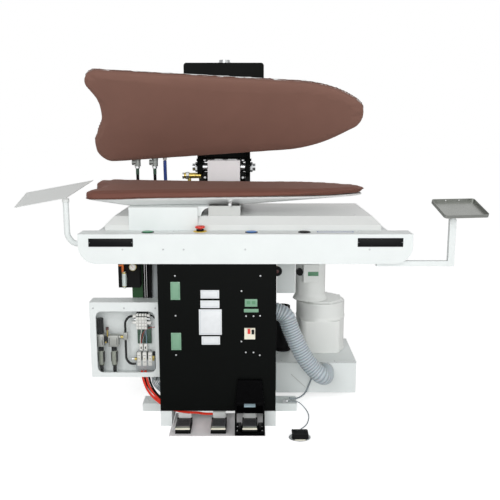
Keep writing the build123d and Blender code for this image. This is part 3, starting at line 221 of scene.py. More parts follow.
@dataclass(frozen=True)
class Enamel(Finish):
    """Sprayed and stoved enamel on sheet steel: faint orange peel, rounded edges a little worn."""

    peel_mm: float = 2.6
    peel_depth_mm: float = 0.05
    edge_mm: float = 1.2
    wear: float = 0.25
    coat: float = 0.15
    specular: float = 0.5

    def detail(self, tree: bpy.types.NodeTree, shader: bpy.types.Node) -> None:
        """Soft edges by the bevel node, dust in broad patches and peel in the gloss."""
        patches = self.grain(tree, 140, 4)
        edge = add(tree, "ShaderNodeBevel", {"samples": 4}, {"Radius": self.edge_mm * MM})
        flat = add(tree, "ShaderNodeNewGeometry").outputs["Normal"]
        meet = add(tree, "ShaderNodeVectorMath", {"operation": "DOT_PRODUCT"}, {
            "Vector": edge.outputs[0], "Vector_001": flat,
        })
        worn = add(tree, "ShaderNodeMapRange", None, {
            "Value": meet.outputs["Value"], "From Min": 0.98, "From Max": 0.80, "To Min": 0.0,
            "To Max": self.wear,
        })
        base = add(tree, "ShaderNodeMix", {"data_type": "RGBA"}, {
            "Factor_Float": patches, "A_Color": shade(self.colour, 0.93),
            "B_Color": shade(self.colour, 1.04),
        })
        edged = add(tree, "ShaderNodeMix", {"data_type": "RGBA"}, {
            "Factor_Float": worn.outputs[0], "A_Color": out(base, "Result_Color"),
            "B_Color": linear("#9B9C9A"),
        })
        tree.links.new(out(edged, "Result_Color"), shader.inputs["Base Color"])
        self.rough(tree, shader, patches, 0.07)
        self.bump(tree, shader, self.grain(tree, self.peel_mm, 1), self.peel_depth_mm, 0.6, edge.outputs[0])
        shader.inputs["Coat Weight"].default_value = self.coat
        shader.inputs["Coat Roughness"].default_value = 0.2
        shader.inputs["Specular IOR Level"].default_value = self.specular


@dataclass(frozen=True)
class CoverCloth(Finish):
    """Woven heat-proof cover, drawn tight: plain weave of matt brown yarn with a soft sheen."""

    thread_mm: float = 3.0  # the real 0.5 mm threads, drawn coarse so that they show
    turn: float = 0.0

    def detail(self, tree: bpy.types.NodeTree, shader: bpy.types.Node) -> None:
        """Two bands of yarn crossing, broad tonal patches and fine fluff."""
        turned = add(tree, "ShaderNodeMapping", None, {"Vector": self.place(tree),
                                                       "Rotation": (self.turn, 0, 0)})
        bands = []
        for axis in ("X", "Y"):
            bands.append(out(add(tree, "ShaderNodeTexWave", {"bands_direction": axis}, {
                "Vector": turned.outputs[0], "Scale": 0.314 / (self.thread_mm * MM), "Distortion": 0.6,
                "Detail": 1.0, "Detail Scale": 2.0,
            }), "Fac"))
        weave = add(tree, "ShaderNodeMath", {"operation": "MULTIPLY"},
                    {"Value": bands[0], "Value_001": bands[1]})
        fluff = self.grain(tree, 1.2, 3)
        patches = self.grain(tree, 160, 3)
        height = add(tree, "ShaderNodeMath", {"operation": "ADD"},
                     {"Value": weave.outputs[0], "Value_001": fluff})
        tone = add(tree, "ShaderNodeMath", {"operation": "MULTIPLY_ADD"}, {
            "Value": weave.outputs[0], "Value_001": 0.25, "Value_002": patches,
        })
        self.tone(tree, shader, tone.outputs[0], 0.88, 1.10)
        self.bump(tree, shader, height.outputs[0], 0.16, 0.35)
        shader.inputs["Sheen Weight"].default_value = 0.15
        shader.inputs["Sheen Roughness"].default_value = 0.5
        shader.inputs["Sheen Tint"].default_value = linear("#C9A998")


class Working(Enum):
    """How a bare metal surface was made, with the noise that its marks follow."""

    TURNED = (0.9, (1.0, 1.0, 0.08))
    BRUSHED = (0.8, (0.05, 1.0, 1.0))
    PLATED = (6.0, (1.0, 1.0, 1.0))
    CAST = (3.5, (1.0, 1.0, 1.0))


@dataclass(frozen=True)
class Metal(Finish):
    """Bare metal: turned steel, brushed stainless, plated screws, brass or die castings."""

    working: Working = Working.PLATED
    metallic: float = 1.0

    def detail(self, tree: bpy.types.NodeTree, shader: bpy.types.Node) -> None:
        """Tool marks in roughness and bump, and a little tarnish."""
        size, stretch = self.working.value
        marks = self.grain(tree, size, 3, stretch)
        shader.inputs["Metallic"].default_value = self.metallic
        self.tone(tree, shader, self.grain(tree, 40, 3), 0.85, 1.08)
        self.rough(tree, shader, marks, 0.12)
        self.bump(tree, shader, marks, 0.15 if self.working is Working.CAST else 0.04, 0.4)


@dataclass(frozen=True)
class Moulding(Finish):
    """Moulded plastic or rubber: fine eroded grain, soft gloss."""

    grain_mm: float = 0.9
    depth_mm: float = 0.05
    spread: float = 0.08
    coat: float = 0.0
    specular: float = 0.5

    def detail(self, tree: bpy.types.NodeTree, shader: bpy.types.Node) -> None:
        """Grain in the bump, slight handling marks in the gloss."""
        marks = self.grain(tree, 25, 4)
        self.tone(tree, shader, marks, 0.9, 1.08)
        self.rough(tree, shader, marks, self.spread)
        self.bump(tree, shader, self.grain(tree, self.grain_mm, 1), self.depth_mm, 0.5)
        shader.inputs["Coat Weight"].default_value = self.coat
        shader.inputs["Coat Roughness"].default_value = 0.12
        shader.inputs["Specular IOR Level"].default_value = self.specular


@dataclass(frozen=True)
class HoseVinyl(Finish):
    """Extruded grey vinyl wound over a hard spiral: glossy crests, darker grooves."""

    groove: str = "#929CA3"

    def detail(self, tree: bpy.types.NodeTree, shader: bpy.types.Node) -> None:
        """The crest attribute tells wall from spiral; streaks run along the wall."""
        crest = add(tree, "ShaderNodeAttribute", {"attribute_name": "crest"})
        mix = add(tree, "ShaderNodeMix", {"data_type": "RGBA"}, {
            "Factor_Float": crest.outputs["Fac"], "A_Color": linear(self.groove),
            "B_Color": linear(self.colour),
        })
        tree.links.new(out(mix, "Result_Color"), shader.inputs["Base Color"])
        marks = self.grain(tree, 9, 3)
        self.rough(tree, shader, marks, 0.08)
        self.bump(tree, shader, marks, 0.2, 0.4)
        shader.inputs["Coat Weight"].default_value = 0.4
        shader.inputs["Coat Roughness"].default_value = 0.15
        shader.inputs["Subsurface Weight"].default_value = 0.1
        shader.inputs["Subsurface Scale"].default_value = 0.01


@dataclass(frozen=True)
class ClearSheet(Finish):
    """Cast acrylic sheet: clear, polished, with a few wiping smears."""

    def detail(self, tree: bpy.types.NodeTree, shader: bpy.types.Node) -> None:
        """Mostly let through, with gloss on top."""
        shader.inputs["Alpha"].default_value = 0.014
        shader.inputs["Specular IOR Level"].default_value = 0.15
        shader.inputs["IOR"].default_value = 1.49
        self.rough(tree, shader, self.grain(tree, 60, 4), 0.04)


WHITE = Enamel("stoved white enamel on sheet steel", "#E8EDEC", 0.38, "white_paint", coat=0.05,
               specular=0.25)
# Painted light: a lighter copy of the white enamel, for the hinge cover in the open head's shade and the
# pedal plate in the table's shade.
LIT_WHITE = Enamel("white enamel lightened as painted light", "#F7F4F5", 0.38, "white_paint", coat=0.05,
                      specular=0.25)
# Painted shade: a slightly darker copy of the white enamel, for the hood's top, which gets less light than
# the fronts.
SHADED_HOOD_WHITE = Enamel("white enamel darkened as painted shade on the table hood", "#E2E4E2", 0.36, "grey_paint")
GREY = Enamel("stoved light grey enamel", "#C6C8C5", 0.38, "grey_paint")
BLACK = Enamel("black powder coat", "#050706", 0.45, "black_paint", peel_mm=1.6, wear=0.01, coat=0.0,
               specular=0.07)
GREEN = Enamel("dark green frame enamel", "#1E4A25", 0.45, "green_paint", wear=0.1, coat=0.0, specular=0.3)
HULL = Enamel("painted aluminium casting", "#DADCDB", 0.42, "cast_hull", 5.0, 0.30, 2.0, 0.1, 0.1)
DRUM = Enamel("painted blower casting", "#EBEDEA", 0.38, "cast_hull", 9.0, 0.5, 2.0, 0.1, 0.2)
# Painted shade: the buck's cover is the same cloth as the head's, coloured darker for the shade that the
# open head casts on it.
SHADED_BUCK_COVER = CoverCloth("brown woven buck cover with painted shade", "#6C4135", 0.80, "brown_cover", turn=-BUCK_TILT)
COVER_HEAD = CoverCloth("brown woven head cover", "#7A564A", 0.80, "brown_cover",
                        turn=HEAD_OPEN - BUCK_TILT)
HEM = Moulding("brown rolled hem tape", "#6A4437", 0.85, "brown_cover", 1.5, 0.15)
THREAD = Moulding("spun brown sewing thread", "#4E332A", 0.8, "brown_cover", 0.5, 0.1)
STEEL = Metal("turned steel", "#A9ABAC", 0.32, "steel", Working.TURNED)
ZINC = Metal("bright zinc-plated steel", "#C9CBCC", 0.30, "screw_steel")
STAINLESS = Metal("brushed stainless sheet", "#9C9E9A", 0.30, "stainless", Working.BRUSHED)
BRASS = Metal("turned brass with flux stains", "#B8A45C", 0.34, "brass", Working.TURNED)
COPPER = Metal("drawn copper pipe", "#C0683A", 0.36, "brass")
DIECAST = Metal("die-cast valve bodies", "#A9ABA6", 0.45, "valve_grey", Working.CAST, 0.5)
GALVANISED = Metal("galvanised malleable iron fitting", "#8F9390", 0.48, "steel", Working.CAST, 0.6)
CREAM = Moulding("cream moulded ABS", "#EFEBD8", 0.45, "cream")
SMOKE = Moulding("smoky polycarbonate bowl", "#8D9286", 0.22, "valve_grey", coat=0.5)
CIRCUIT = Moulding("dark green terminal board", "#1F4632", 0.5, "green_plastic")
WIRE_RED = Moulding("red PVC wire", "#A8302A", 0.4, "red_plastic")
WIRE_BLUE = Moulding("pale blue PVC wire", "#8FA9C2", 0.4, "blue_plastic")
RED = Moulding("red moulded acetal", "#D9301F", 0.38, "red_plastic", coat=0.3)
JET = Moulding("black moulded nylon", "#0B0B0C", 0.48, "black_plastic", specular=0.15)
MATT = Moulding("matt black moulding", "#0D0D0E", 0.62, "black_matte", specular=0.12)
GREEN_CAP = Moulding("green moulded button cap", "#178A58", 0.36, "green_plastic", coat=0.05, specular=0.25)
BLUE_CAP = Moulding("blue moulded button cap", "#3A80CC", 0.36, "blue_plastic", coat=0.05, specular=0.25)
YELLOW = Moulding("yellow printed disc", "#E3C02C", 0.4, "cream")
RUBBER = Moulding("black moulded rubber", "#0E0E0F", 0.72, "black_rubber", 1.4, 0.1, specular=0.12)
BLUE_HOSE = Moulding("blue braided air hose", "#1F3C86", 0.5, "black_rubber", 1.0, 0.15)
RED_HOSE = Moulding("red polyurethane air hose", "#EA3D28", 0.36, "red_hose", coat=0.15, specular=0.3)
CABLE_GREY = Moulding("grey vinyl cable sheath", "#8B9499", 0.42, "grey_hose")
DUCTING = Moulding("grey slotted wiring duct", "#A9AEB0", 0.5, "white_plastic")
GLOSS = Moulding("polished black ABS guard", "#050506", 0.28, "black_plastic", 6.0, 0.25, 0.06, 0.0, 0.03)
TREAD = Moulding("worn grey-black tread rubber", "#6A6B6E", 0.6, "black_rubber", 1.0, 0.1)
VINYL = HoseVinyl("grey spiral vinyl hose", "#BAC4CA", 0.30, "grey_hose")
CLEAR = ClearSheet("cast acrylic sheet", "#E8EFEF", 0.06, "window")
MINT = Moulding("pale green printed plate", "#7BA489", 0.36, "pale_plate", coat=0.1, specular=0.3)
MINT_DARK = Moulding("green printed field", "#5F9270", 0.3, "pale_plate", coat=0.1, specular=0.3)
PLATE = Moulding("white enamelled plate", "#E4E7E9", 0.36, "pale_plate", coat=0.3)
PLATE_RIM = Moulding("grey printed border", "#A9B4BE", 0.4, "pale_plate")
PLATE_BLACK = Moulding("black anodised plate", "#08090A", 0.35, "black_plastic", specular=0.12)
DIAL = Moulding("white dial card", "#EDEDE8", 0.4, "white_plastic")
BLUE_PRINT = Moulding("blue printed border", "#4C6FB8", 0.4, "blue_plastic")
BARE_STEEL = Metal("bare steel strip", "#7E9097", 0.5, "steel", Working.BRUSHED)
SHEET_GREY = Enamel("stoved pale grey enamel on thin sheet", "#DDE0DE", 0.4, "grey_paint")
CHROME_FILTER = Metal("nickel-plated filter body", "#C9D3D0", 0.42, "steel", Working.PLATED, 0.35)
RED_CORE = Moulding("dark red knob centre", "#4A1512", 0.4, "red_plastic")


# ---- mesh helpers --------------------------------------------------------------------------


def new_piece(name: str, mesh: bpy.types.Mesh, finish: Finish, smooth: bool = True) -> bpy.types.Object:
    """Links a mesh as a piece with its finish.

    Args:
        name: The piece's name.
        mesh: Its mesh, in the row frame.
        finish: What it is made of.
        smooth: Whether faces shade smoothly up to sharp edges.

    Returns:
        The new object.
    """
    piece = bpy.data.objects.new(name, mesh)
    bpy.context.scene.collection.objects.link(piece)
    mesh.materials.clear()
    mesh.materials.append(finish.material())
    mesh.polygons.foreach_set("use_smooth", [smooth] * len(mesh.polygons))
    if smooth:
        mesh.set_sharp_from_angle(angle=math.radians(35))
    return piece


def settle(piece: bpy.types.Object, body: str, finish: Finish, *replaced: str) -> bpy.types.Object:
    """Puts a piece on its body, in place of the CAD nodes it stands for.

    Args:
        piece: The finished piece.
        body: The CAD body that it rides on.
        finish: Its finish; not used.
        replaced: The CAD nodes that it replaces.

    Returns:
        The same piece.
    """
    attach(piece, body)
    if replaced:
        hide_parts(*replaced)
    LOG.info("%s on %s", piece.name, body)
    return piece


def baked(piece: bpy.types.Object) -> bpy.types.Mesh:
    """The evaluated mesh of an object, which is then removed."""
    graph = bpy.context.evaluated_depsgraph_get()
    mesh = bpy.data.meshes.new_from_object(piece.evaluated_get(graph), depsgraph=graph)
    bpy.data.objects.remove(piece)
    return mesh


def from_bmesh(name: str, shape: bmesh.types.BMesh) -> bpy.types.Mesh:
    """Closes a bmesh into a mesh whose faces point outwards."""
    bmesh.ops.remove_doubles(shape, verts=shape.verts, dist=1e-6)
    bmesh.ops.recalc_face_normals(shape, faces=shape.faces)
    mesh = bpy.data.meshes.new(name)
    shape.to_mesh(mesh)
    shape.free()
    return mesh


def turned(profile: Sequence[tuple[float, float]], matrix: Matrix, sides: int = 48) -> bmesh.types.BMesh:
    """A closed body turned about Z from a profile of (radius, height) points in millimetres.

    Args:
        profile: Points from the bottom of the axis to its top.
        matrix: Where the body goes.
        sides: How many faces go round.

    Returns:
        The body as a bmesh.
    """
    shape = bmesh.new()
    rings = []
    for radius, height in profile:
        if radius < 1e-6:
            rings.append([shape.verts.new(matrix @ Vector((0, 0, height * MM)))])
            continue
        ring = []
        for step in range(sides):
            turn = math.tau * step / sides
            spot = Vector((radius * MM * math.cos(turn), radius * MM * math.sin(turn), height * MM))
            ring.append(shape.verts.new(matrix @ spot))
        rings.append(ring)
    for low, high in zip(rings, rings[1:]):
        for step in range(sides):
            ahead = (step + 1) % sides
            corners = [low[step % len(low)], low[ahead % len(low)], high[ahead % len(high)],
                       high[step % len(high)]]
            unique = list(dict.fromkeys(corners))
            if len(unique) > 2:
                shape.faces.new(unique)
    return shape


def rounded(low: Point, high: Point, radius: float, steps: int = 3) -> bmesh.types.BMesh:
    """A box between two corners with rounded edges, all in metres."""
    shape = bmesh.new()
    bmesh.ops.create_cube(shape, size=1.0)
    size = Vector(high) - Vector(low)
    middle = (Vector(high) + Vector(low)) / 2
    for vert in shape.verts:
        vert.co = Vector((vert.co.x * size.x, vert.co.y * size.y, vert.co.z * size.z)) + middle
    bmesh.ops.bevel(shape, geom=shape.edges[:], offset=radius, segments=steps, profile=0.5, affect="EDGES")
    return shape


def merge_into(target: bmesh.types.BMesh, other: bmesh.types.BMesh) -> None:
    """Adds another bmesh's faces to a target and frees it."""
    mesh = bpy.data.meshes.new("part")
    other.to_mesh(mesh)
    other.free()
    target.from_mesh(mesh)
    bpy.data.meshes.remove(mesh)


def block(x0: float, x1: float, y0: float, y1: float, z0: float, z1: float, soft: float = 0.8):
    """A box with rounded edges between two corners, all in millimetres."""
    return rounded((x0 * MM, y0 * MM, z0 * MM), (x1 * MM, y1 * MM, z1 * MM), soft * MM, 2)


def bar(start: Point, end: Point, radius: float, sides: int = 24, ease: float = 0.6) -> bmesh.types.BMesh:
    """A round bar between two points with softened ends, all in millimetres."""
    axis = Vector(end) - Vector(start)
    place = Matrix.Translation(Vector(start) * MM) @ axis.to_track_quat("Z", "Y").to_matrix().to_4x4()
    long = axis.length
    profile = [(0, 0), (radius - ease, 0), (radius, ease), (radius, long - ease), (radius - ease, long),
               (0, long)]
    return turned(profile, place, sides)


def wire(points: Sequence[Point], radius: float) -> bmesh.types.BMesh:
    """A round wire drawn through control points, all in millimetres."""
    curve = bpy.data.curves.new("wire", "CURVE")
    curve.dimensions, curve.bevel_depth, curve.bevel_resolution = "3D", radius * MM, 2
    curve.resolution_u, curve.use_fill_caps = 8, True
    spline = curve.splines.new("NURBS")
    spline.points.add(len(points) - 1)
    for point, place in zip(spline.points, points):
        point.co = (*(Vector(place) * MM), 1.0)
    spline.order_u = 3
    spline.use_endpoint_u = True
    holder = bpy.data.objects.new("wire", curve)
    bpy.context.scene.collection.objects.link(holder)
    mesh = baked(holder)
    shape = bmesh.new()
    shape.from_mesh(mesh)
    bpy.data.meshes.remove(mesh)
    return shape


def fitted(name: str, shapes: Sequence[bmesh.types.BMesh], body: str, finish: Finish, *replaced: str):
    """Joins shapes of one finish into one piece and settles it.

    Args:
        name: The piece's name.
        shapes: Its closed parts, which are used up.
        body: The CAD body that it rides on.
        finish: What the parts are made of.
        replaced: The CAD nodes that it stands for.

    Returns:
        The piece.
    """
    whole = bmesh.new()
    for shape in shapes:
        merge_into(whole, shape)
    return settle(new_piece(name, from_bmesh(name, whole), finish), body, finish, *replaced)


def merged_copy(node: str) -> bpy.types.Mesh:
    """A copy of a CAD node's mesh with its loose triangles joined."""
    shape = bmesh.new()
    shape.from_mesh(NODES[node].data)
    bmesh.ops.remove_doubles(shape, verts=shape.verts, dist=1e-6)
    mesh = bpy.data.meshes.new(node)
    shape.to_mesh(mesh)
    shape.free()
    return mesh


def islands(node: str) -> list[list[Vector]]:
    """The points of each separate body in a CAD node's mesh."""
    shape = bmesh.new()
    shape.from_mesh(merged_copy(node))
    seen: set[bmesh.types.BMVert] = set()
    groups = []
    for start in shape.verts:
        if start in seen:
            continue
        group, queue = [], [start]
        seen.add(start)
        while queue:
            vert = queue.pop()
            group.append(vert.co.copy())
            for edge in vert.link_edges:
                other = edge.other_vert(vert)
                if other not in seen:
                    seen.add(other)
                    queue.append(other)
        groups.append(group)
    shape.free()
    return groups


def remeshed(mesh: bpy.types.Mesh, voxel_mm: float, soften: int = 0) -> bpy.types.Mesh:
    """A mesh rebuilt of even faces, then smoothed a little."""
    holder = bpy.data.objects.new("holder", mesh)
    bpy.context.scene.collection.objects.link(holder)
    remesh = holder.modifiers.new("remesh", "REMESH")
    remesh.mode, remesh.voxel_size, remesh.use_smooth_shade = "VOXEL", voxel_mm * MM, True
    if soften:
        smooth = holder.modifiers.new("smooth", "SMOOTH")
        smooth.factor, smooth.iterations = 0.5, soften
    return baked(holder)


# ---- geometry nodes ------------------------------------------------------------------------


@dataclass(frozen=True)
class SmallParts:
    """Geometry Nodes tree that sets one small part on every point of a mesh, turned to face out."""

    name: str
    inputs: tuple[tuple[str, str], ...] = (
        ("Part", "NodeSocketObject"), ("Width", "NodeSocketFloat"), ("Height", "NodeSocketFloat"),
        ("Finish", "NodeSocketMaterial"),
    )

    def tree(self) -> bpy.types.NodeTree:
        """Builds the tree.

        Returns:
            A tree whose inputs are the part, its width and height, and its finish.
        """
        tree = bpy.data.node_groups.new(self.name, "GeometryNodeTree")
        tree.interface.new_socket("Geometry", in_out="INPUT", socket_type="NodeSocketGeometry")
        for label, kind in self.inputs:
            tree.interface.new_socket(label, in_out="INPUT", socket_type=kind)
        tree.interface.new_socket("Geometry", in_out="OUTPUT", socket_type="NodeSocketGeometry")
        given = add(tree, "NodeGroupInput")
        facing = add(tree, "GeometryNodeInputNamedAttribute", {"data_type": "FLOAT_VECTOR"},
                     {"Name": "facing"})
        along = add(tree, "GeometryNodeInputNamedAttribute", {"data_type": "FLOAT_VECTOR"},
                    {"Name": "along"})
        first = add(tree, "FunctionNodeAlignRotationToVector", {"axis": "Z"}, {"Vector": facing.outputs[0]})
        turn = add(tree, "FunctionNodeAlignRotationToVector", {"axis": "X", "pivot_axis": "Z"}, {
            "Rotation": first.outputs[0], "Vector": along.outputs[0],
        })
        part = add(tree, "GeometryNodeObjectInfo", None, {"Object": given.outputs["Part"]})
        size = add(tree, "ShaderNodeCombineXYZ", None, {
            "X": given.outputs["Width"], "Y": given.outputs["Width"], "Z": given.outputs["Height"],
        })
        placed = add(tree, "GeometryNodeInstanceOnPoints", None, {
            "Points": given.outputs["Geometry"], "Instance": part.outputs["Geometry"],
            "Rotation": turn.outputs[0], "Scale": size.outputs[0],
        })
        real = add(tree, "GeometryNodeRealizeInstances", None, {"Geometry": placed.outputs[0]})
        painted = add(tree, "GeometryNodeSetMaterial", None, {
            "Geometry": real.outputs[0], "Material": given.outputs["Finish"],
        })
        add(tree, "NodeGroupOutput", None, {"Geometry": painted.outputs[0]})
        return tree

    def scatter(
        self, name: str, spots: Sequence[tuple[Vector, Vector, Vector]], part: bmesh.types.BMesh,
        width_mm: float, height_mm: float, finish: Finish,
    ) -> bpy.types.Object:
        """Sets the part on all spots and makes one plain mesh of them.

        Args:
            name: Name of the piece.
            spots: Place, facing and sideways direction of each.
            part: The small part, 1 m wide and high, standing on z 0.
            width_mm: Its real width.
            height_mm: Its real height.
            finish: Its finish.

        Returns:
            The piece, with no modifier left.
        """
        source = bpy.data.objects.new(f"{name}_part", from_bmesh(f"{name}_part", part))
        bpy.context.scene.collection.objects.link(source)
        mesh = bpy.data.meshes.new(name)
        mesh.from_pydata([tuple(place) for place, _, _ in spots], [], [])
        for label, index in (("facing", 1), ("along", 2)):
            store = mesh.attributes.new(label, "FLOAT_VECTOR", "POINT")
            store.data.foreach_set("vector", [c for spot in spots for c in spot[index]])
        holder = bpy.data.objects.new(name, mesh)
        bpy.context.scene.collection.objects.link(holder)
        tree = self.tree()
        modifier = holder.modifiers.new("parts", "NODES")
        modifier.node_group = tree
        values = {"Part": source, "Width": width_mm * MM, "Height": height_mm * MM,
                  "Finish": finish.material()}
        for item in tree.interface.items_tree:
            if item.in_out == "INPUT" and item.name in values:
                modifier[item.identifier] = values[item.name]
        made = baked(holder)
        bpy.data.objects.remove(source)
        return new_piece(name, made, finish)


def screw_head() -> bmesh.types.BMesh:
    """A pan head with a cross recess, one unit across and high, standing on z 0."""
    profile = [(0, 0), (500, 0), (500, 350), (470, 620), (380, 860), (250, 970), (170, 990), (110, 620),
               (0, 560)]
    shape = turned([(r, h) for r, h in profile], Matrix.Identity(4), 24)
    for vert in shape.verts:
        reach = math.hypot(vert.co.x, vert.co.y)
        if 0.05 < reach < 0.2 and vert.co.z > 0.9:
            turn = math.atan2(vert.co.y, vert.co.x)
            if abs(math.sin(2 * turn)) < 0.6:
                vert.co.z -= 0.3
                vert.co.xy = vert.co.xy * 1.45
    return shape


def stitch() -> bmesh.types.BMesh:
    """One short stitch, lying along X, one unit long and high."""
    return rounded((-0.5, -0.16, 0.0), (0.5, 0.16, 1.0), 0.12, 1)


# ---- sub-assemblies ------------------------------------------------------------------------


@dataclass
class Studio:
    """Camera at the photograph's place, plain pale floor and soft lamps."""

    camera_at: Point = (0.140, -3.200, 1.309)
    pitch: float = 10.5
    lens_mm: float = 48.96
    sensor_mm: float = 36.0
    far_clip: float = 100.0
    sky_level: float = 0.42
    floor_colour: str = "#F4F4F4"
    floor_glow: float = 0.62
    floor_half: float = 30.0
    floor_drop: float = 0.0005
    # Each lamp's name, place, aim, side in metres and power in watts.
    lamps: tuple[tuple[str, Point, Point, float, float], ...] = (
        ("front_lamp", (-1.0, -4.2, 2.3), (0.1, 0.0, 0.8), 2.6, 71.0),
        ("low_lamp", (1.4, -4.4, 0.7), (0.1, 0.0, 0.5), 3.0, 50.0),
        ("side_lamp", (3.6, -2.4, 1.8), (0.0, 0.0, 0.6), 2.4, 22.0),
        ("top_lamp", (0.0, 0.4, 4.2), (0.0, 0.0, 1.0), 3.4, 6.0),
    )

    def camera(self) -> None:
        """Makes the camera that matches the photograph."""
        data = bpy.data.cameras.new("camera")
        data.lens, data.sensor_width, data.sensor_fit = self.lens_mm, self.sensor_mm, "HORIZONTAL"
        data.clip_end = self.far_clip
        camera = bpy.data.objects.new("camera", data)
        bpy.context.scene.collection.objects.link(camera)
        camera.location = self.camera_at
        camera.rotation_euler = (math.radians(90 - self.pitch), 0.0, 0.0)
        bpy.context.scene.camera = camera

    def lamp(self, name: str, place: Point, aim: Point, size: float, power: float) -> None:
        """Makes a soft square lamp.

        Args:
            name: Its name.
            place: Where it stands.
            aim: Where it points.
            size: Its side in metres.
            power: Its power in watts.
        """
        data = bpy.data.lights.new(name, "AREA")
        data.energy, data.size = power, size
        lamp = bpy.data.objects.new(name, data)
        bpy.context.scene.collection.objects.link(lamp)
        lamp.location = place
        lamp.rotation_euler = (Vector(aim) - Vector(place)).to_track_quat("-Z", "Y").to_euler()

    def world(self) -> None:
        """Lights the object evenly; camera, gloss and glass see plain white."""
        world = bpy.data.worlds.new("studio")
        bpy.context.scene.world = world
        world.use_nodes = True
        tree = world.node_tree
        tree.nodes.clear()
        path = add(tree, "ShaderNodeLightPath")
        gloss = add(tree, "ShaderNodeMath", {"operation": "MAXIMUM"}, {
            "Value": path.outputs["Is Glossy Ray"], "Value_001": path.outputs["Is Transmission Ray"],
        })
        seen = add(tree, "ShaderNodeMath", {"operation": "MAXIMUM"}, {
            "Value": path.outputs["Is Camera Ray"], "Value_001": gloss.outputs[0],
        })
        soft = add(tree, "ShaderNodeBackground", None, {"Color": (1, 1, 1, 1), "Strength": self.sky_level})
        plain = add(tree, "ShaderNodeBackground", None, {"Color": (1, 1, 1, 1), "Strength": 1.0})
        mix = add(tree, "ShaderNodeMixShader", None, {
            "Fac": seen.outputs[0], "Shader": soft.outputs[0], "Shader_001": plain.outputs[0],
        })
        add(tree, "ShaderNodeOutputWorld", None, {"Surface": mix.outputs[0]})

    def floor(self) -> None:
        """A large floor that reads as white where no shadow falls."""
        shape = bmesh.new()
        bmesh.ops.create_grid(shape, x_segments=1, y_segments=1, size=self.floor_half)
        mesh = bpy.data.meshes.new("floor")
        shape.to_mesh(mesh)
        shape.free()
        floor = bpy.data.objects.new("floor", mesh)
        floor.location.z = -self.floor_drop
        bpy.context.scene.collection.objects.link(floor)
        made = bpy.data.materials.new("pale floor")
        made.use_nodes = True
        tree = made.node_tree
        tree.nodes.clear()
        path = add(tree, "ShaderNodeLightPath")
        matt = add(tree, "ShaderNodeBsdfDiffuse", None, {"Color": linear(self.floor_colour)})
        glow = add(tree, "ShaderNodeEmission", None, {"Color": (1, 1, 1, 1), "Strength": self.floor_glow})
        lit = add(tree, "ShaderNodeAddShader", None, {"Shader": matt.outputs[0],
                                                      "Shader_001": glow.outputs[0]})
        mix = add(tree, "ShaderNodeMixShader", None, {
            "Fac": path.outputs["Is Camera Ray"], "Shader": matt.outputs[0], "Shader_001": lit.outputs[0],
        })
        add(tree, "ShaderNodeOutputMaterial", None, {"Surface": mix.outputs[0]})
        mesh.materials.append(made)

    def build(self) -> None:
        """Sets up the whole studio."""
        self.camera()
        self.world()
        self.floor()
        for lamp in self.lamps:
            self.lamp(*lamp)
        scene = bpy.context.scene
        scene.view_settings.view_transform = "Standard"


@dataclass
class SwitchCable:
    """The cable from the sill's gland to the foot switch, lying on the floor."""

    diameter: float = 0.005
    length: float = 0.337
    route: tuple[Point, ...] = (
        (0.315, -0.225, 0.045), (0.340, -0.225, 0.045), (0.367, -0.225, 0.040), (0.388, -0.227, 0.020),
        (0.403, -0.246, 0.006), (0.409, -0.291, 0.0026), (0.402, -0.343, 0.0026), (0.390, -0.388, 0.0026),
        (0.370, -0.424, 0.005), (0.358, -0.446, 0.009), (0.358, -0.466, 0.009),
    )

    def build(self) -> None:
        curve = bpy.data.curves.new("switch_cable", "CURVE")
        curve.dimensions, curve.bevel_depth, curve.bevel_resolution = "3D", self.diameter / 2, 4
        curve.resolution_u, curve.use_fill_caps = 12, True
        spline = curve.splines.new("NURBS")
        spline.points.add(len(self.route) - 1)
        for point, place in zip(spline.points, self.route):
            point.co = (*place, 1.0)
        spline.order_u = 3
        spline.use_endpoint_u = True
        curve.materials.append(CABLE_GREY.material())
        cable = bpy.data.objects.new("switch_cable", curve)
        bpy.context.scene.collection.objects.link(cable)
        settle(cable, "frame", CABLE_GREY, "foot_switch_cable")


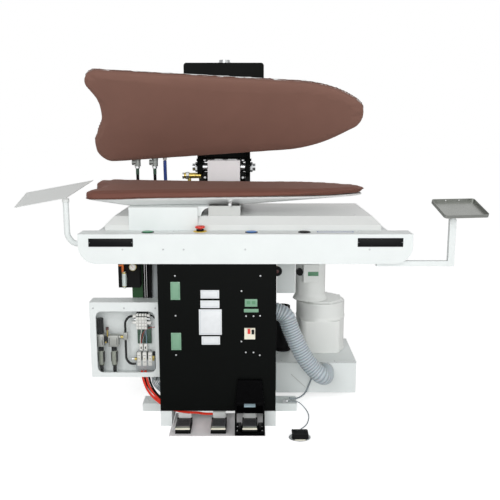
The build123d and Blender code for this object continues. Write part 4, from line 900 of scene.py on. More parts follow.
@dataclass
class Cushion:
    """A foam pad under its stretched cover, swollen by a cloth simulation, with puckers and a hem."""

    name: str
    node: str
    body: str
    plane: Matrix
    facing: float  # +1 where the pad's face is up in the press plane, -1 where it is down
    finish: Finish
    seed: float
    back: float  # height of the pad's flat back in the press plane
    face: float  # height of the pad's face
    hang_mm: tuple[tuple[float, float], ...] = ((-1.0, 0.0), (1.0, 0.0))  # hem beyond the back, along X
    flare_mm: float = 3.0
    voxel_mm: float = 8.0
    swell_mm: float = 4.0
    pucker_mm: float = 2.2

    def drape(self, spot: Vector, outward: Vector) -> Vector:
        """Where the cover's lower edge hangs, further out and down than the pad itself.

        Args:
            spot: A point of the plain pad, in the press plane.
            outward: Its surface direction.

        Returns:
            The point as it hangs.
        """
        flat = Vector((outward.x, outward.y, 0.0))
        thick = abs(self.face - self.back)
        for (x0, low), (x1, high) in zip(self.hang_mm, self.hang_mm[1:]):
            if x0 <= spot.x <= x1:
                hang = low + (high - low) * (spot.x - x0) / (x1 - x0)
        first = 0.45 if hang > 0 else 0.15
        share = max(0.0, min(1.0, (self.depth(spot) / thick - first) / (1 - first)))
        share *= share * (3 - 2 * share) * min(1.0, flat.length * 1.4)
        hang += 1.6 * noise.noise(Vector((spot.x * 6, spot.y * 6, self.seed + 2)))
        return spot + (flat * self.flare_mm - Vector((0, 0, self.facing * hang))) * share * MM

    def depth(self, spot: Vector) -> float:
        """How far a point lies behind the pad's face."""
        return (self.face - spot.z) * self.facing

    def swollen(self, mesh: bpy.types.Mesh) -> bpy.types.Mesh:
        """Blows the cover up with cloth pressure, its back held, and caps how far it goes.

        Args:
            mesh: The evenly meshed pad, in the press plane.

        Returns:
            The swollen mesh.
        """
        pad = bpy.data.objects.new("pad", mesh)
        bpy.context.scene.collection.objects.link(pad)
        start = [v.co.copy() for v in mesh.vertices]
        held = pad.vertex_groups.new(name="held")
        thick = abs(self.face - self.back)
        held.add([v.index for v in mesh.vertices if self.depth(v.co) > thick - 0.004], 1.0, "REPLACE")
        cloth = pad.modifiers.new("cloth", "CLOTH")
        cloth.settings.use_pressure = True
        cloth.settings.uniform_pressure_force = 4.0
        cloth.settings.vertex_group_mass = "held"
        cloth.settings.effector_weights.gravity = 0.0
        cloth.settings.quality = 4
        cloth.settings.tension_stiffness = 30
        scene = bpy.context.scene
        for number in range(1, 21):
            scene.frame_set(number)
        result = baked(pad)
        scene.frame_set(1)
        cap = self.swell_mm * MM
        for vert, before in zip(result.vertices, start):
            move = vert.co - before
            if move.length > cap:
                move *= cap / move.length
            vert.co = before + move
        return result

    def puckered(self, mesh: bpy.types.Mesh) -> None:
        """Draws the skirt in with soft uneven puckers, and keeps the face in its plane."""
        thick = abs(self.face - self.back)
        outward = [v.normal.copy() for v in mesh.vertices]
        for vert, normal in zip(mesh.vertices, outward):
            depth = self.depth(vert.co)
            low = max(0.0, min(1.0, (depth - 0.35 * thick) / (0.65 * thick)))
            broad = noise.noise(Vector((vert.co.x * 9, vert.co.y * 9, self.seed)))
            fine = noise.noise(Vector((vert.co.x * 34, vert.co.y * 34, self.seed + 5)))
            push = (0.8 * broad + 0.9 * fine) * self.pucker_mm * MM * low
            vert.co -= normal * abs(push)
            wave = noise.noise(Vector((vert.co.x * 5, vert.co.y * 5, self.seed + 9)))
            skirt = max(0.0, 1 - abs(depth - 0.9 * thick) / (0.3 * thick))
            vert.co.z += self.facing * skirt * abs(wave) * 0.004
            over = (vert.co.z - self.face) * self.facing
            if over > 0:
                vert.co.z -= over * self.facing

    def outline(self, mesh: bpy.types.Mesh, height: float) -> list[Vector]:
        """The closed line in which a level cuts the pad.

        Args:
            mesh: The pad in the press plane.
            height: Where it is cut.

        Returns:
            Points in order round the pad.
        """
        shape = bmesh.new()
        shape.from_mesh(mesh)
        bmesh.ops.bisect_plane(
            shape, geom=shape.verts[:] + shape.edges[:] + shape.faces[:], dist=1e-6,
            plane_co=(0, 0, height), plane_no=(0, 0, 1), clear_inner=True, clear_outer=True,
        )
        verts = {v for v in shape.verts if len(v.link_edges) == 2}
        here = min(verts, key=lambda v: (v.co.x, v.co.y))
        line, before = [], None
        while here is not None and len(line) < len(verts):
            line.append(here.co.copy())
            ahead = [e.other_vert(here) for e in here.link_edges if e.other_vert(here) is not before]
            before, here = here, (ahead[0] if ahead else None)
            if here is not None and (here.co - line[0]).length < 1e-9:
                break
        shape.free()
        return line

    def hem(self, line: list[Vector]) -> None:
        """Rolls a hem along the pad's back edge and sews it with a row of stitches."""
        curve = bpy.data.curves.new("hem", "CURVE")
        curve.dimensions, curve.bevel_depth, curve.bevel_resolution = "3D", 0.0022, 2
        kept = line[:: max(1, len(line) // 420)]
        spline = curve.splines.new("POLY")
        spline.points.add(len(kept) - 1)
        for point, place in zip(spline.points, kept):
            point.co = (*(self.plane @ place), 1.0)
        spline.use_cyclic_u = True
        holder = bpy.data.objects.new("hem", curve)
        bpy.context.scene.collection.objects.link(holder)
        settle(new_piece(f"{self.name}_hem", baked(holder), HEM), self.body, HEM)
        spots, run, gap = [], 0.0, 0.008
        turn = self.plane.to_3x3()
        middle = sum(line, Vector()) / len(line)
        for here, ahead in zip(line, line[1:]):
            run += (ahead - here).length
            if run < gap:
                continue
            run = 0.0
            along = (ahead - here).normalized()
            outward = along.cross(Vector((0, 0, 1)))
            if outward.dot(here - middle) < 0:
                outward = -outward
            place = here + outward * 0.0019
            spots.append((self.plane @ place, turn @ outward, turn @ along))
        row = SmallParts(f"{self.name} stitches").scatter(
            f"{self.name}_stitches", spots, stitch(), 4.5, 0.9, THREAD)
        settle(row, self.body, THREAD)

    def build(self) -> None:
        """Makes the pad from the space its CAD solid holds, with its hem."""
        mesh = merged_copy(self.node)
        mesh.transform(self.plane.inverted())
        plain = remeshed(mesh, self.voxel_mm)
        outward = [v.normal.copy() for v in plain.vertices]
        for vert, normal in zip(plain.vertices, outward):
            if self.depth(vert.co) < abs(self.face - self.back) - 0.004:
                vert.co -= normal * 0.002
        full = self.swollen(plain)
        self.puckered(full)
        line = self.outline(full, self.back + self.facing * 0.0035)
        middle = sum(line, Vector()) / len(line)
        sides = []
        for before, after in zip(line[-1:] + line[:-1], line[1:] + line[:1]):
            side = (after - before).cross(Vector((0, 0, 1))).normalized()
            sides.append(side if side.dot(before - middle) > 0 else -side)
        line = [self.drape(spot, side) for spot, side in zip(line, sides)]
        outward = [v.normal.copy() for v in full.vertices]
        for vert, normal in zip(full.vertices, outward):
            vert.co = self.drape(vert.co, normal)
        full.transform(self.plane)
        pad = new_piece(self.name, full, self.finish)
        full.polygons.foreach_set("use_smooth", [True] * len(full.polygons))
        fine = pad.modifiers.new("fine", "SUBSURF")
        fine.levels = fine.render_levels = 1
        settle(pad, self.body, self.finish, self.node)
        self.hem(line)


@dataclass
class Castings:
    """Painted castings: their CAD shape with the soft edges that a mould leaves."""

    items: tuple[tuple[str, str, float, int, Finish], ...] = (
        ("buck_pan", "frame", 4.0, 3, HULL),
        ("head_chest", "head", 4.5, 2, HULL),
        ("blower_housing", "frame", 3.0, 4, DRUM),
        ("blower_motor", "frame", 2.5, 4, DRUM),
        ("foot_guard", "frame", 2.0, 3, GLOSS),
    )

    def build(self) -> None:
        """Replaces each casting by its softened copy."""
        for node, body, voxel, soften, finish in self.items:
            mesh = remeshed(merged_copy(node), voxel, soften)
            piece = new_piece(f"{node}_casting", mesh, finish)
            mesh.polygons.foreach_set("use_smooth", [True] * len(mesh.polygons))
            settle(piece, body, finish, node)


@dataclass
class VacuumHose:
    """Spiral vinyl hose from the vacuum box up to the buck column, swept by Geometry Nodes."""

    route: tuple[Point, ...] = (
        (0.497, -0.103, 0.150), (0.497, -0.245, 0.150), (0.400, -0.243, 0.233), (0.326, -0.227, 0.385),
        (0.294, -0.218, 0.490), (0.098, -0.218, 0.490),
    )
    radius: float = 0.040
    groove: float = 0.0026
    pitch: float = 0.0118
    sides: int = 40

    def tree(self) -> bpy.types.NodeTree:
        """Builds the tree: a circle swept along the curve, its radius waving with the length run."""
        tree = bpy.data.node_groups.new("spiral hose", "GeometryNodeTree")
        wanted = (
            ("Geometry", "NodeSocketGeometry"), ("Radius", "NodeSocketFloat"),
            ("Groove", "NodeSocketFloat"),
            ("Pitch", "NodeSocketFloat"), ("Step", "NodeSocketFloat"), ("Sides", "NodeSocketInt"),
            ("Finish", "NodeSocketMaterial"),
        )
        for label, kind in wanted:
            tree.interface.new_socket(label, in_out="INPUT", socket_type=kind)
        tree.interface.new_socket("Geometry", in_out="OUTPUT", socket_type="NodeSocketGeometry")
        given = add(tree, "NodeGroupInput")
        evened = add(tree, "GeometryNodeResampleCurve", {"mode": "LENGTH"}, {
            "Curve": given.outputs["Geometry"], "Length": given.outputs["Step"],
        })
        run = add(tree, "GeometryNodeSplineParameter")
        turns = add(tree, "ShaderNodeMath", {"operation": "DIVIDE"}, {
            "Value": run.outputs["Length"], "Value_001": given.outputs["Pitch"],
        })
        angle = add(tree, "ShaderNodeMath", {"operation": "MULTIPLY"}, {
            "Value": turns.outputs[0], "Value_001": math.tau,
        })
        wave = add(tree, "ShaderNodeMath", {"operation": "COSINE"}, {"Value": angle.outputs[0]})
        crest = add(tree, "ShaderNodeMapRange", {"interpolation_type": "SMOOTHSTEP"}, {
            "Value": wave.outputs[0], "From Min": 0.9, "From Max": -0.5, "To Min": 0.0, "To Max": 1.0,
        })
        depth = add(tree, "ShaderNodeMath", {"operation": "SUBTRACT"},
                    {"Value": 1.0, "Value_001": crest.outputs[0]})
        sunk = add(tree, "ShaderNodeMath", {"operation": "MULTIPLY"}, {
            "Value": depth.outputs[0], "Value_001": given.outputs["Groove"],
        })
        reach = add(tree, "ShaderNodeMath", {"operation": "SUBTRACT"}, {
            "Value": given.outputs["Radius"], "Value_001": sunk.outputs[0],
        })
        marked = add(tree, "GeometryNodeStoreNamedAttribute", {"data_type": "FLOAT", "domain": "POINT"}, {
            "Geometry": evened.outputs[0], "Name": "crest", "Value": crest.outputs[0],
        })
        circle = add(tree, "GeometryNodeCurvePrimitiveCircle", None, {
            "Resolution": given.outputs["Sides"], "Radius": 1.0,
        })
        swept = add(tree, "GeometryNodeCurveToMesh", None, {
            "Curve": marked.outputs[0], "Profile Curve": circle.outputs[0], "Scale": reach.outputs[0],
            "Fill Caps": True,
        })
        real = add(tree, "GeometryNodeRealizeInstances", None, {"Geometry": swept.outputs[0]})
        painted = add(tree, "GeometryNodeSetMaterial", None, {
            "Geometry": real.outputs[0], "Material": given.outputs["Finish"],
        })
        add(tree, "NodeGroupOutput", None, {"Geometry": painted.outputs[0]})
        return tree

    def build(self) -> None:
        """Sweeps the hose and adds its two clamps."""
        curve = bpy.data.curves.new("vacuum_hose", "CURVE")
        curve.dimensions, curve.resolution_u = "3D", 24
        spline = curve.splines.new("NURBS")
        spline.points.add(len(self.route) - 1)
        for point, place in zip(spline.points, self.route):
            point.co = (*place, 1.0)
        spline.order_u = 3
        spline.use_endpoint_u = True
        holder = bpy.data.objects.new("vacuum_hose", curve)
        bpy.context.scene.collection.objects.link(holder)
        tree = self.tree()
        modifier = holder.modifiers.new("hose", "NODES")
        modifier.node_group = tree
        values = {
            "Radius": self.radius, "Groove": self.groove, "Pitch": self.pitch, "Step": self.pitch / 8,
            "Sides": self.sides, "Finish": VINYL.material(),
        }
        for item in tree.interface.items_tree:
            if item.in_out == "INPUT" and item.name in values:
                modifier[item.identifier] = values[item.name]
        made = baked(holder)
        hose = new_piece("spiral_hose", made, VINYL)
        made.polygons.foreach_set("use_smooth", [True] * len(made.polygons))
        settle(hose, "frame", VINYL, "vacuum_hose")
        down = Matrix.Rotation(math.radians(90), 4, "X")
        across = Matrix.Rotation(math.radians(-90), 4, "Y")
        for label, place, turn in (("low", self.route[0], down), ("high", self.route[-1], across)):
            at = Matrix.Translation(Vector(place)) @ turn
            side = 1 if label == "low" else -1
            profile = [(40.3, 8 * side), (41.6, 8 * side), (41.9, 14 * side), (41.6, 20 * side),
                       (40.3, 20 * side)]
            band = turned(profile + profile[:1], at, 48)
            clamp = new_piece(f"hose_clamp_{label}", from_bmesh(f"hose_clamp_{label}", band), ZINC)
            settle(clamp, "frame", ZINC)


@dataclass
class HeadHoses:
    """Steam and air hoses from the frame below up to the open head, in one fixed shape."""

    y_top: float = 0.203
    y_low: float = 0.230
    low: float = 0.904
    sides: int = 24
    steps: int = 40

    def hose(self, x: float, top: float, radius: float) -> bmesh.types.BMesh:
        """One hose as a tube of close rings from its socket up to its fitting."""
        shape = bmesh.new()
        rings, sides = [], self.sides
        for step in range(self.steps + 1):
            share = step / self.steps
            ease = share * share * (3 - 2 * share)
            y = self.y_low + (self.y_top - self.y_low) * ease
            centre = Vector((x, y, self.low + (top - self.low) * share))
            ring = []
            for side in range(sides):
                turn = math.tau * side / sides
                around = Vector((radius * math.cos(turn), radius * math.sin(turn), 0))
                ring.append(shape.verts.new(centre + around))
            rings.append(ring)
        for lower, upper in zip(rings, rings[1:]):
            for side in range(sides):
                ahead = (side + 1) % sides
                shape.faces.new((lower[side], lower[ahead], upper[ahead], upper[side]))
        shape.faces.new(rings[0][::-1])
        shape.faces.new(rings[-1])
        return shape

    def build(self) -> None:
        """Makes the three hoses between frame and head."""
        rows = (
            ("steam_hose_outer", -0.420, 1.062, 0.0075, RUBBER),
            ("steam_hose_inner", -0.334, 1.062, 0.0075, RUBBER),
            ("head_air_hose", -0.283, 1.130, 0.0085, BLUE_HOSE),
        )
        for index, (name, x, top, radius, finish) in enumerate(rows):
            mesh = from_bmesh(name, self.hose(x, top, radius))
            piece = new_piece(name, mesh, finish)
            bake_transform(piece)
            if index == 0:
                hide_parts("head_hoses")
            LOG.info("%s between frame and head", name)


@dataclass
class Buttons:
    """Turned and moulded push buttons on the table strip, with their bezels."""

    row_y: float = -0.367
    stop_at: tuple[float, float] = (-0.072, -0.345)

    def build(self) -> None:
        """Makes the three flush buttons, the stop button and their bezels."""
        rows = (
            ("green_button", "start_push", -0.291, GREEN_CAP),
            ("blue_button", "blue_push", 0.146, BLUE_CAP),
            ("black_button", "black_push", 0.369, JET),
        )
        cap = [(0, -14), (9, -14), (9, 1), (21.6, 1), (22, 1.4), (22, 3.6), (21.2, 4.2), (19, 4.4),
               (17.6, 4.1),
               (12, 3.9), (0, 3.8)]
        ring = [(22.1, 0), (26.5, 0), (26.5, 1.2), (25.6, 2.2), (24.2, 2.4), (23.0, 2.4), (22.1, 2.0),
                (22.1, 0)]
        for node, body, x, finish in rows:
            at = Matrix.Translation((x, self.row_y, TABLE_TOP))
            piece = new_piece(f"{node}_cap", from_bmesh(node, turned(cap, at, 64)), finish)
            settle(piece, body, finish, node)
            bezel = new_piece(f"{node}_bezel", from_bmesh(node, turned(ring, at, 64)), JET)
            settle(bezel, "frame", JET, "button_bezels")
        at = Matrix.Translation((*self.stop_at, TABLE_TOP))
        head = [(0, 1.5), (8, 1.5), (8, 15), (19.5, 15), (21, 16.4), (21, 20), (20, 22.5), (17.5, 24.4),
                (14, 25),
                (0, 25)]
        stop = new_piece("stop_mushroom", from_bmesh("stop", turned(head, at, 64)), RED)
        settle(stop, "stop_push", RED, "stop_button")
        disc = [(8.1, 0), (29, 0), (29, 1.5), (28.4, 2), (8.1, 2), (8.1, 0)]
        settle(new_piece("stop_disc", from_bmesh("disc", turned(disc, at, 64)), YELLOW), "frame", YELLOW)
        collar = [(8.1, 2), (16, 2), (16, 9.2), (15.2, 10), (8.1, 10), (8.1, 2)]
        settle(new_piece("stop_collar", from_bmesh("collar", turned(collar, at, 48)), JET), "frame", JET)


@dataclass
class Plates:
    """Bare plates on the control panel and the fascia, and the small counter."""

    panel: tuple[tuple[str, float, float, float, float], ...] = (
        ("upper_left", -197, -157, 574, 652), ("lower_left", -199, -156, 351, 428),
        ("first", -70, 9, 580, 616), ("second", -71, 10, 538, 571),
        ("third", -78, 19, 419, 532), ("fourth", -68, 11, 375, 412),
        ("counter", 118, 171, 544, 577), ("strip", 114, 176, 519, 534),
    )

    def plate(self, name: str, low: Point, high: Point, finish: Finish) -> None:
        """One plate with softened edges."""
        mesh = from_bmesh(name, rounded(low, high, 0.0004, 2))
        settle(new_piece(f"plate_{name}", mesh, finish), "frame", finish, "panel_plates")

    def inlay(self, name: str, low: Point, high: Point, finish: Finish) -> None:
        """A thin printed field or glass set on a plate."""
        settle(new_piece(name, from_bmesh(name, rounded(low, high, 0.00008, 1)), finish), "frame", finish)

    def build(self) -> None:
        """Makes the plates with their borders, the counter's windows and the fascia's two plates."""
        y1 = PANEL_FRONT
        spots = []
        for name, x0, x1, z0, z1 in self.panel:
            green = name in ("upper_left", "lower_left", "counter", "strip")
            finish = MINT if green else PLATE
            y0 = y1 - 0.0012
            self.plate(name, (x0 * MM, y0, z0 * MM), (x1 * MM, y1, z1 * MM), finish)
            if name == "counter":
                for side in (-1, 1):
                    mid = (x0 + x1) / 2 + side * 11
                    self.inlay(f"counter_window_{'left' if side < 0 else 'right'}",
                               ((mid - 7.5) * MM, y0 - 0.0005, (z0 + 11) * MM),
                               ((mid + 7.5) * MM, y0, (z1 - 8) * MM), MINT_DARK)
            elif name != "strip":
                edge = MINT_DARK if green else PLATE_RIM
                self.border(name, x0, x1, z0, z1, y0, edge)
                for x in (x0 + 3.2, x1 - 3.2):
                    for z in (z0 + 3.2, z1 - 3.2):
                        spots.append((Vector((x * MM, y0, z * MM)), Vector((0, -1, 0)), Vector((1, 0, 0))))
        for name, x0, x1, z0, z1 in (("left", -531, -346, 807, 842), ("right", 587, 776, 807, 844)):
            y0 = FASCIA_FRONT - 0.0012
            self.plate(f"fascia_{name}", (x0 * MM, y0, z0 * MM), (x1 * MM, FASCIA_FRONT, z1 * MM),
                       PLATE_BLACK)
            for x in (x0 + 4, x1 - 4):
                spots.append((Vector((x * MM, y0, (z0 + z1) / 2 * MM)), Vector((0, -1, 0)),
                              Vector((1, 0, 0))))
        rivet = turned([(0, 0), (500, 0), (480, 450), (330, 850), (0, 1000)], Matrix.Identity(4), 12)
        row = SmallParts("plate rivets").scatter("plate_rivets", spots, rivet, 2.6, 0.8, ZINC)
        settle(row, "frame", ZINC)

    def border(self, name: str, x0: float, x1: float, z0: float, z1: float, y: float,
               finish: Finish) -> None:
        """A thin printed line round a plate, as four strips."""
        inset, wide, thick = 5.4, 1.0, 0.00012
        shape = bmesh.new()
        a0, a1, b0, b1 = x0 + inset, x1 - inset, z0 + inset, z1 - inset
        for low, high in (
            ((a0, b0), (a1, b0 + wide)), ((a0, b1 - wide), (a1, b1)),
            ((a0, b0 + wide), (a0 + wide, b1 - wide)), ((a1 - wide, b0 + wide), (a1, b1 - wide)),
        ):
            strip = rounded((low[0] * MM, y - thick, low[1] * MM), (high[0] * MM, y, high[1] * MM),
                            0.00003, 1)
            merge_into(shape, strip)
        mesh = bpy.data.meshes.new(name)
        shape.to_mesh(mesh)
        shape.free()
        settle(new_piece(f"border_{name}", mesh, finish), "frame", finish)


@dataclass
class Fasteners:
    """The cover screws, read from where the CAD model has them and given real heads."""

    def build(self) -> None:
        """Replaces every plain screw by a pan head with its recess."""
        spots = []
        for group in islands("cover_screws"):
            low = Vector(min(p[i] for p in group) for i in range(3))
            high = Vector(max(p[i] for p in group) for i in range(3))
            size, middle = high - low, (low + high) / 2
            if size.y < size.z:
                spots.append((Vector((middle.x, high.y, middle.z)), Vector((0, -1, 0)),
                              Vector((1, 0, 0.4))))
            else:
                spots.append((Vector((middle.x, middle.y, low.z)), Vector((0, 0, 1)), Vector((1, 0.4, 0))))
        row = SmallParts("cover screws").scatter("cover_screw_heads", spots, screw_head(), 8.0, 2.5, ZINC)
        settle(row, "frame", ZINC, "cover_screws")


@dataclass
class Gauge:
    """A small pressure gauge face: card, ticks by Geometry Nodes, and needle."""

    name: str
    at: Point
    radius_mm: float

    def build(self) -> None:
        """Makes the gauge's card, scale and needle in front of its case."""
        turn = Matrix.Translation(Vector(self.at)) @ Matrix.Rotation(math.radians(90), 4, "X")
        r = self.radius_mm
        card = turned([(0, 0), (r, 0), (r, 0.4), (0, 0.4)], turn, 40)
        settle(new_piece(f"{self.name}_card", from_bmesh("card", card), DIAL), "frame", DIAL)
        rim = turned([(r, -0.5), (r + 1.4, -0.5), (r + 1.4, 1.3), (r + 0.5, 1.8), (r, 1.2), (r, -0.5)],
                     turn, 40)
        settle(new_piece(f"{self.name}_rim", from_bmesh("rim", rim), ZINC), "frame", ZINC)
        spots = []
        for step in range(11):
            angle = math.radians(225 - 27 * step)
            radial = Vector((math.cos(angle), 0, math.sin(angle)))
            place = Vector(self.at) + radial * (r * 0.78) * MM + Vector((0, -0.0004, 0))
            spots.append((place, Vector((0, -1, 0)), radial))
        ticks = SmallParts(f"{self.name} ticks").scatter(f"{self.name}_ticks", spots, stitch(), 0.25 * r,
                                                         0.15, JET)
        settle(ticks, "frame", JET)
        needle = rounded(
            (self.at[0] - 0.0006, self.at[1] - 0.0009, self.at[2] - 0.25 * r * MM),
            (self.at[0] + 0.0006, self.at[1] - 0.0005, self.at[2] + 0.65 * r * MM), 0.0001, 1)
        bmesh.ops.rotate(needle, cent=self.at, matrix=Matrix.Rotation(math.radians(-38), 3, "Y"),
                         verts=needle.verts)
        settle(new_piece(f"{self.name}_needle", from_bmesh("needle", needle), RED), "frame", RED)


@dataclass
class Bleed:
    """Copper elbow and plated filter on the relay box, and the union's ring and tail at the back."""

    x: float = -407.0
    y: float = -310.0

    def build(self) -> None:
        """Lays the real metals over the plain turned shapes."""
        x, y = self.x, self.y
        elbow = [bar((x - 6, y + 2, 674), (x - 6, y + 2, 712), 6.8, 24, 2),
                 bar((x - 24, y + 2, 706), (x - 2, y + 2, 706), 6.8, 24, 2)]
        fitted("bleed_elbow", elbow, "frame", COPPER)
        body = [bar((x, y, 612), (x, y, 672), 10.3, 32, 2.5), bar((x, y, 642), (x, y, 650), 11.2, 6, 1),
                bar((x, y, 603.6), (x, y, 613), 6.4, 24, 1.5), bar((x, y, 668), (x, y, 678), 8.5, 6, 1)]
        fitted("bleed_filter", body, "frame", CHROME_FILTER)
        ring = [bar((-181, 230, 1054), (-165, 230, 1054), 18.4, 8, 1),
                bar((-199.4, 230, 1054), (-190, 230, 1054), 16, 24, 1)]
        fitted("union_ring", ring, "frame", ZINC)
        fitted("union_tail", [bar((-133, 230, 1054), (-104, 230, 1054), 13.6, 32, 2)], "frame", BRASS)


@dataclass
class LowHoses:
    """Air hoses and cables that leave the valve box below and run behind the panel."""

    port: float = -360.0

    def build(self) -> None:
        """Makes the two red hoses, the black ones and the grey cables."""
        red = [
            wire([(-347, -290, 203), (-343, -290, 184), (-333, -302, 157), (-317, -315, 129),
                  (-292, -330, 106),
                  (-256, -350, 86), (-222, -374, 77), (-187, -376, 65), (-138, -376, 56), (-90, -372, 54),
                  (-66, self.port, 42), (-24, self.port, 42)], 5.5),
            wire([(-328, -290, 203), (-325, -290, 184), (-318, -302, 161), (-304, -315, 137),
                  (-284, -330, 117),
                  (-256, -350, 98), (-215, -368, 86), (-158, self.port, 84), (-158, self.port, 56)], 5.5),
        ]
        fitted("red_hoses", red, "frame", RED_HOSE, "pedal_hoses")
        black = [
            wire([(-337, -284, 203), (-335, -284, 184), (-326, -296, 164), (-315, -308, 145),
                  (-298, -320, 126),
                  (-257, -334, 98), (-222, -345, 80), (-220, -345, 69)], 4.5),
            wire([(-316, -290, 203), (-314, -290, 180), (-305, -302, 158), (-292, -315, 137),
                  (-274, -328, 120),
                  (-255, -340, 110), (-232, -350, 92), (-230, -350, 69)], 4.8),
            wire([(-277, -292, 203), (-283, -290, 178), (-273, -302, 160), (-258, -312, 150),
                  (-240, -322, 120),
                  (-236, -330, 69)], 3.0),
        ]
        fitted("black_hoses", black, "frame", RUBBER)
        grey = []
        for shift, high in ((0, 0), (6, 6), (13, 11), (20, 16), (27, 22), (34, 28)):
            grey.append(wire([
                (-305 + shift, -286, 203), (-302 + shift, -288, 182),
                (-297 + shift, -300, 159 + 0.5 * high),
                (-281 + 0.7 * shift, -312, 144 + high * 0.7), (-257 + 0.2 * shift, -325, 129 + high * 0.7),
                (-240, -330, 100 + high), (-238 + 0.4 * shift, -330, 69),
            ], 2.6))
        fitted("grey_cables", grey, "frame", CABLE_GREY)
        drain = wire([(440, -107, 130), (430, -106, 96), (418, -110, 66), (402, -135, 44), (368, -190, 45),
                      (340, -222, 54),
                      (322, -226, 60)], 4.0)
        fitted("drain_hose", [drain], "frame", CABLE_GREY)

    def bundle(self) -> None:
        """Black cables between the risers and the duct."""
        lines = [wire([(x, -250, 545), (x - 2, -251, 600), (x + 3, -250, 660), (x, -250, 735)], 3.8)
                 for x in (-313, -306, -300)]
        fitted("panel_cables", lines, "frame", JET)


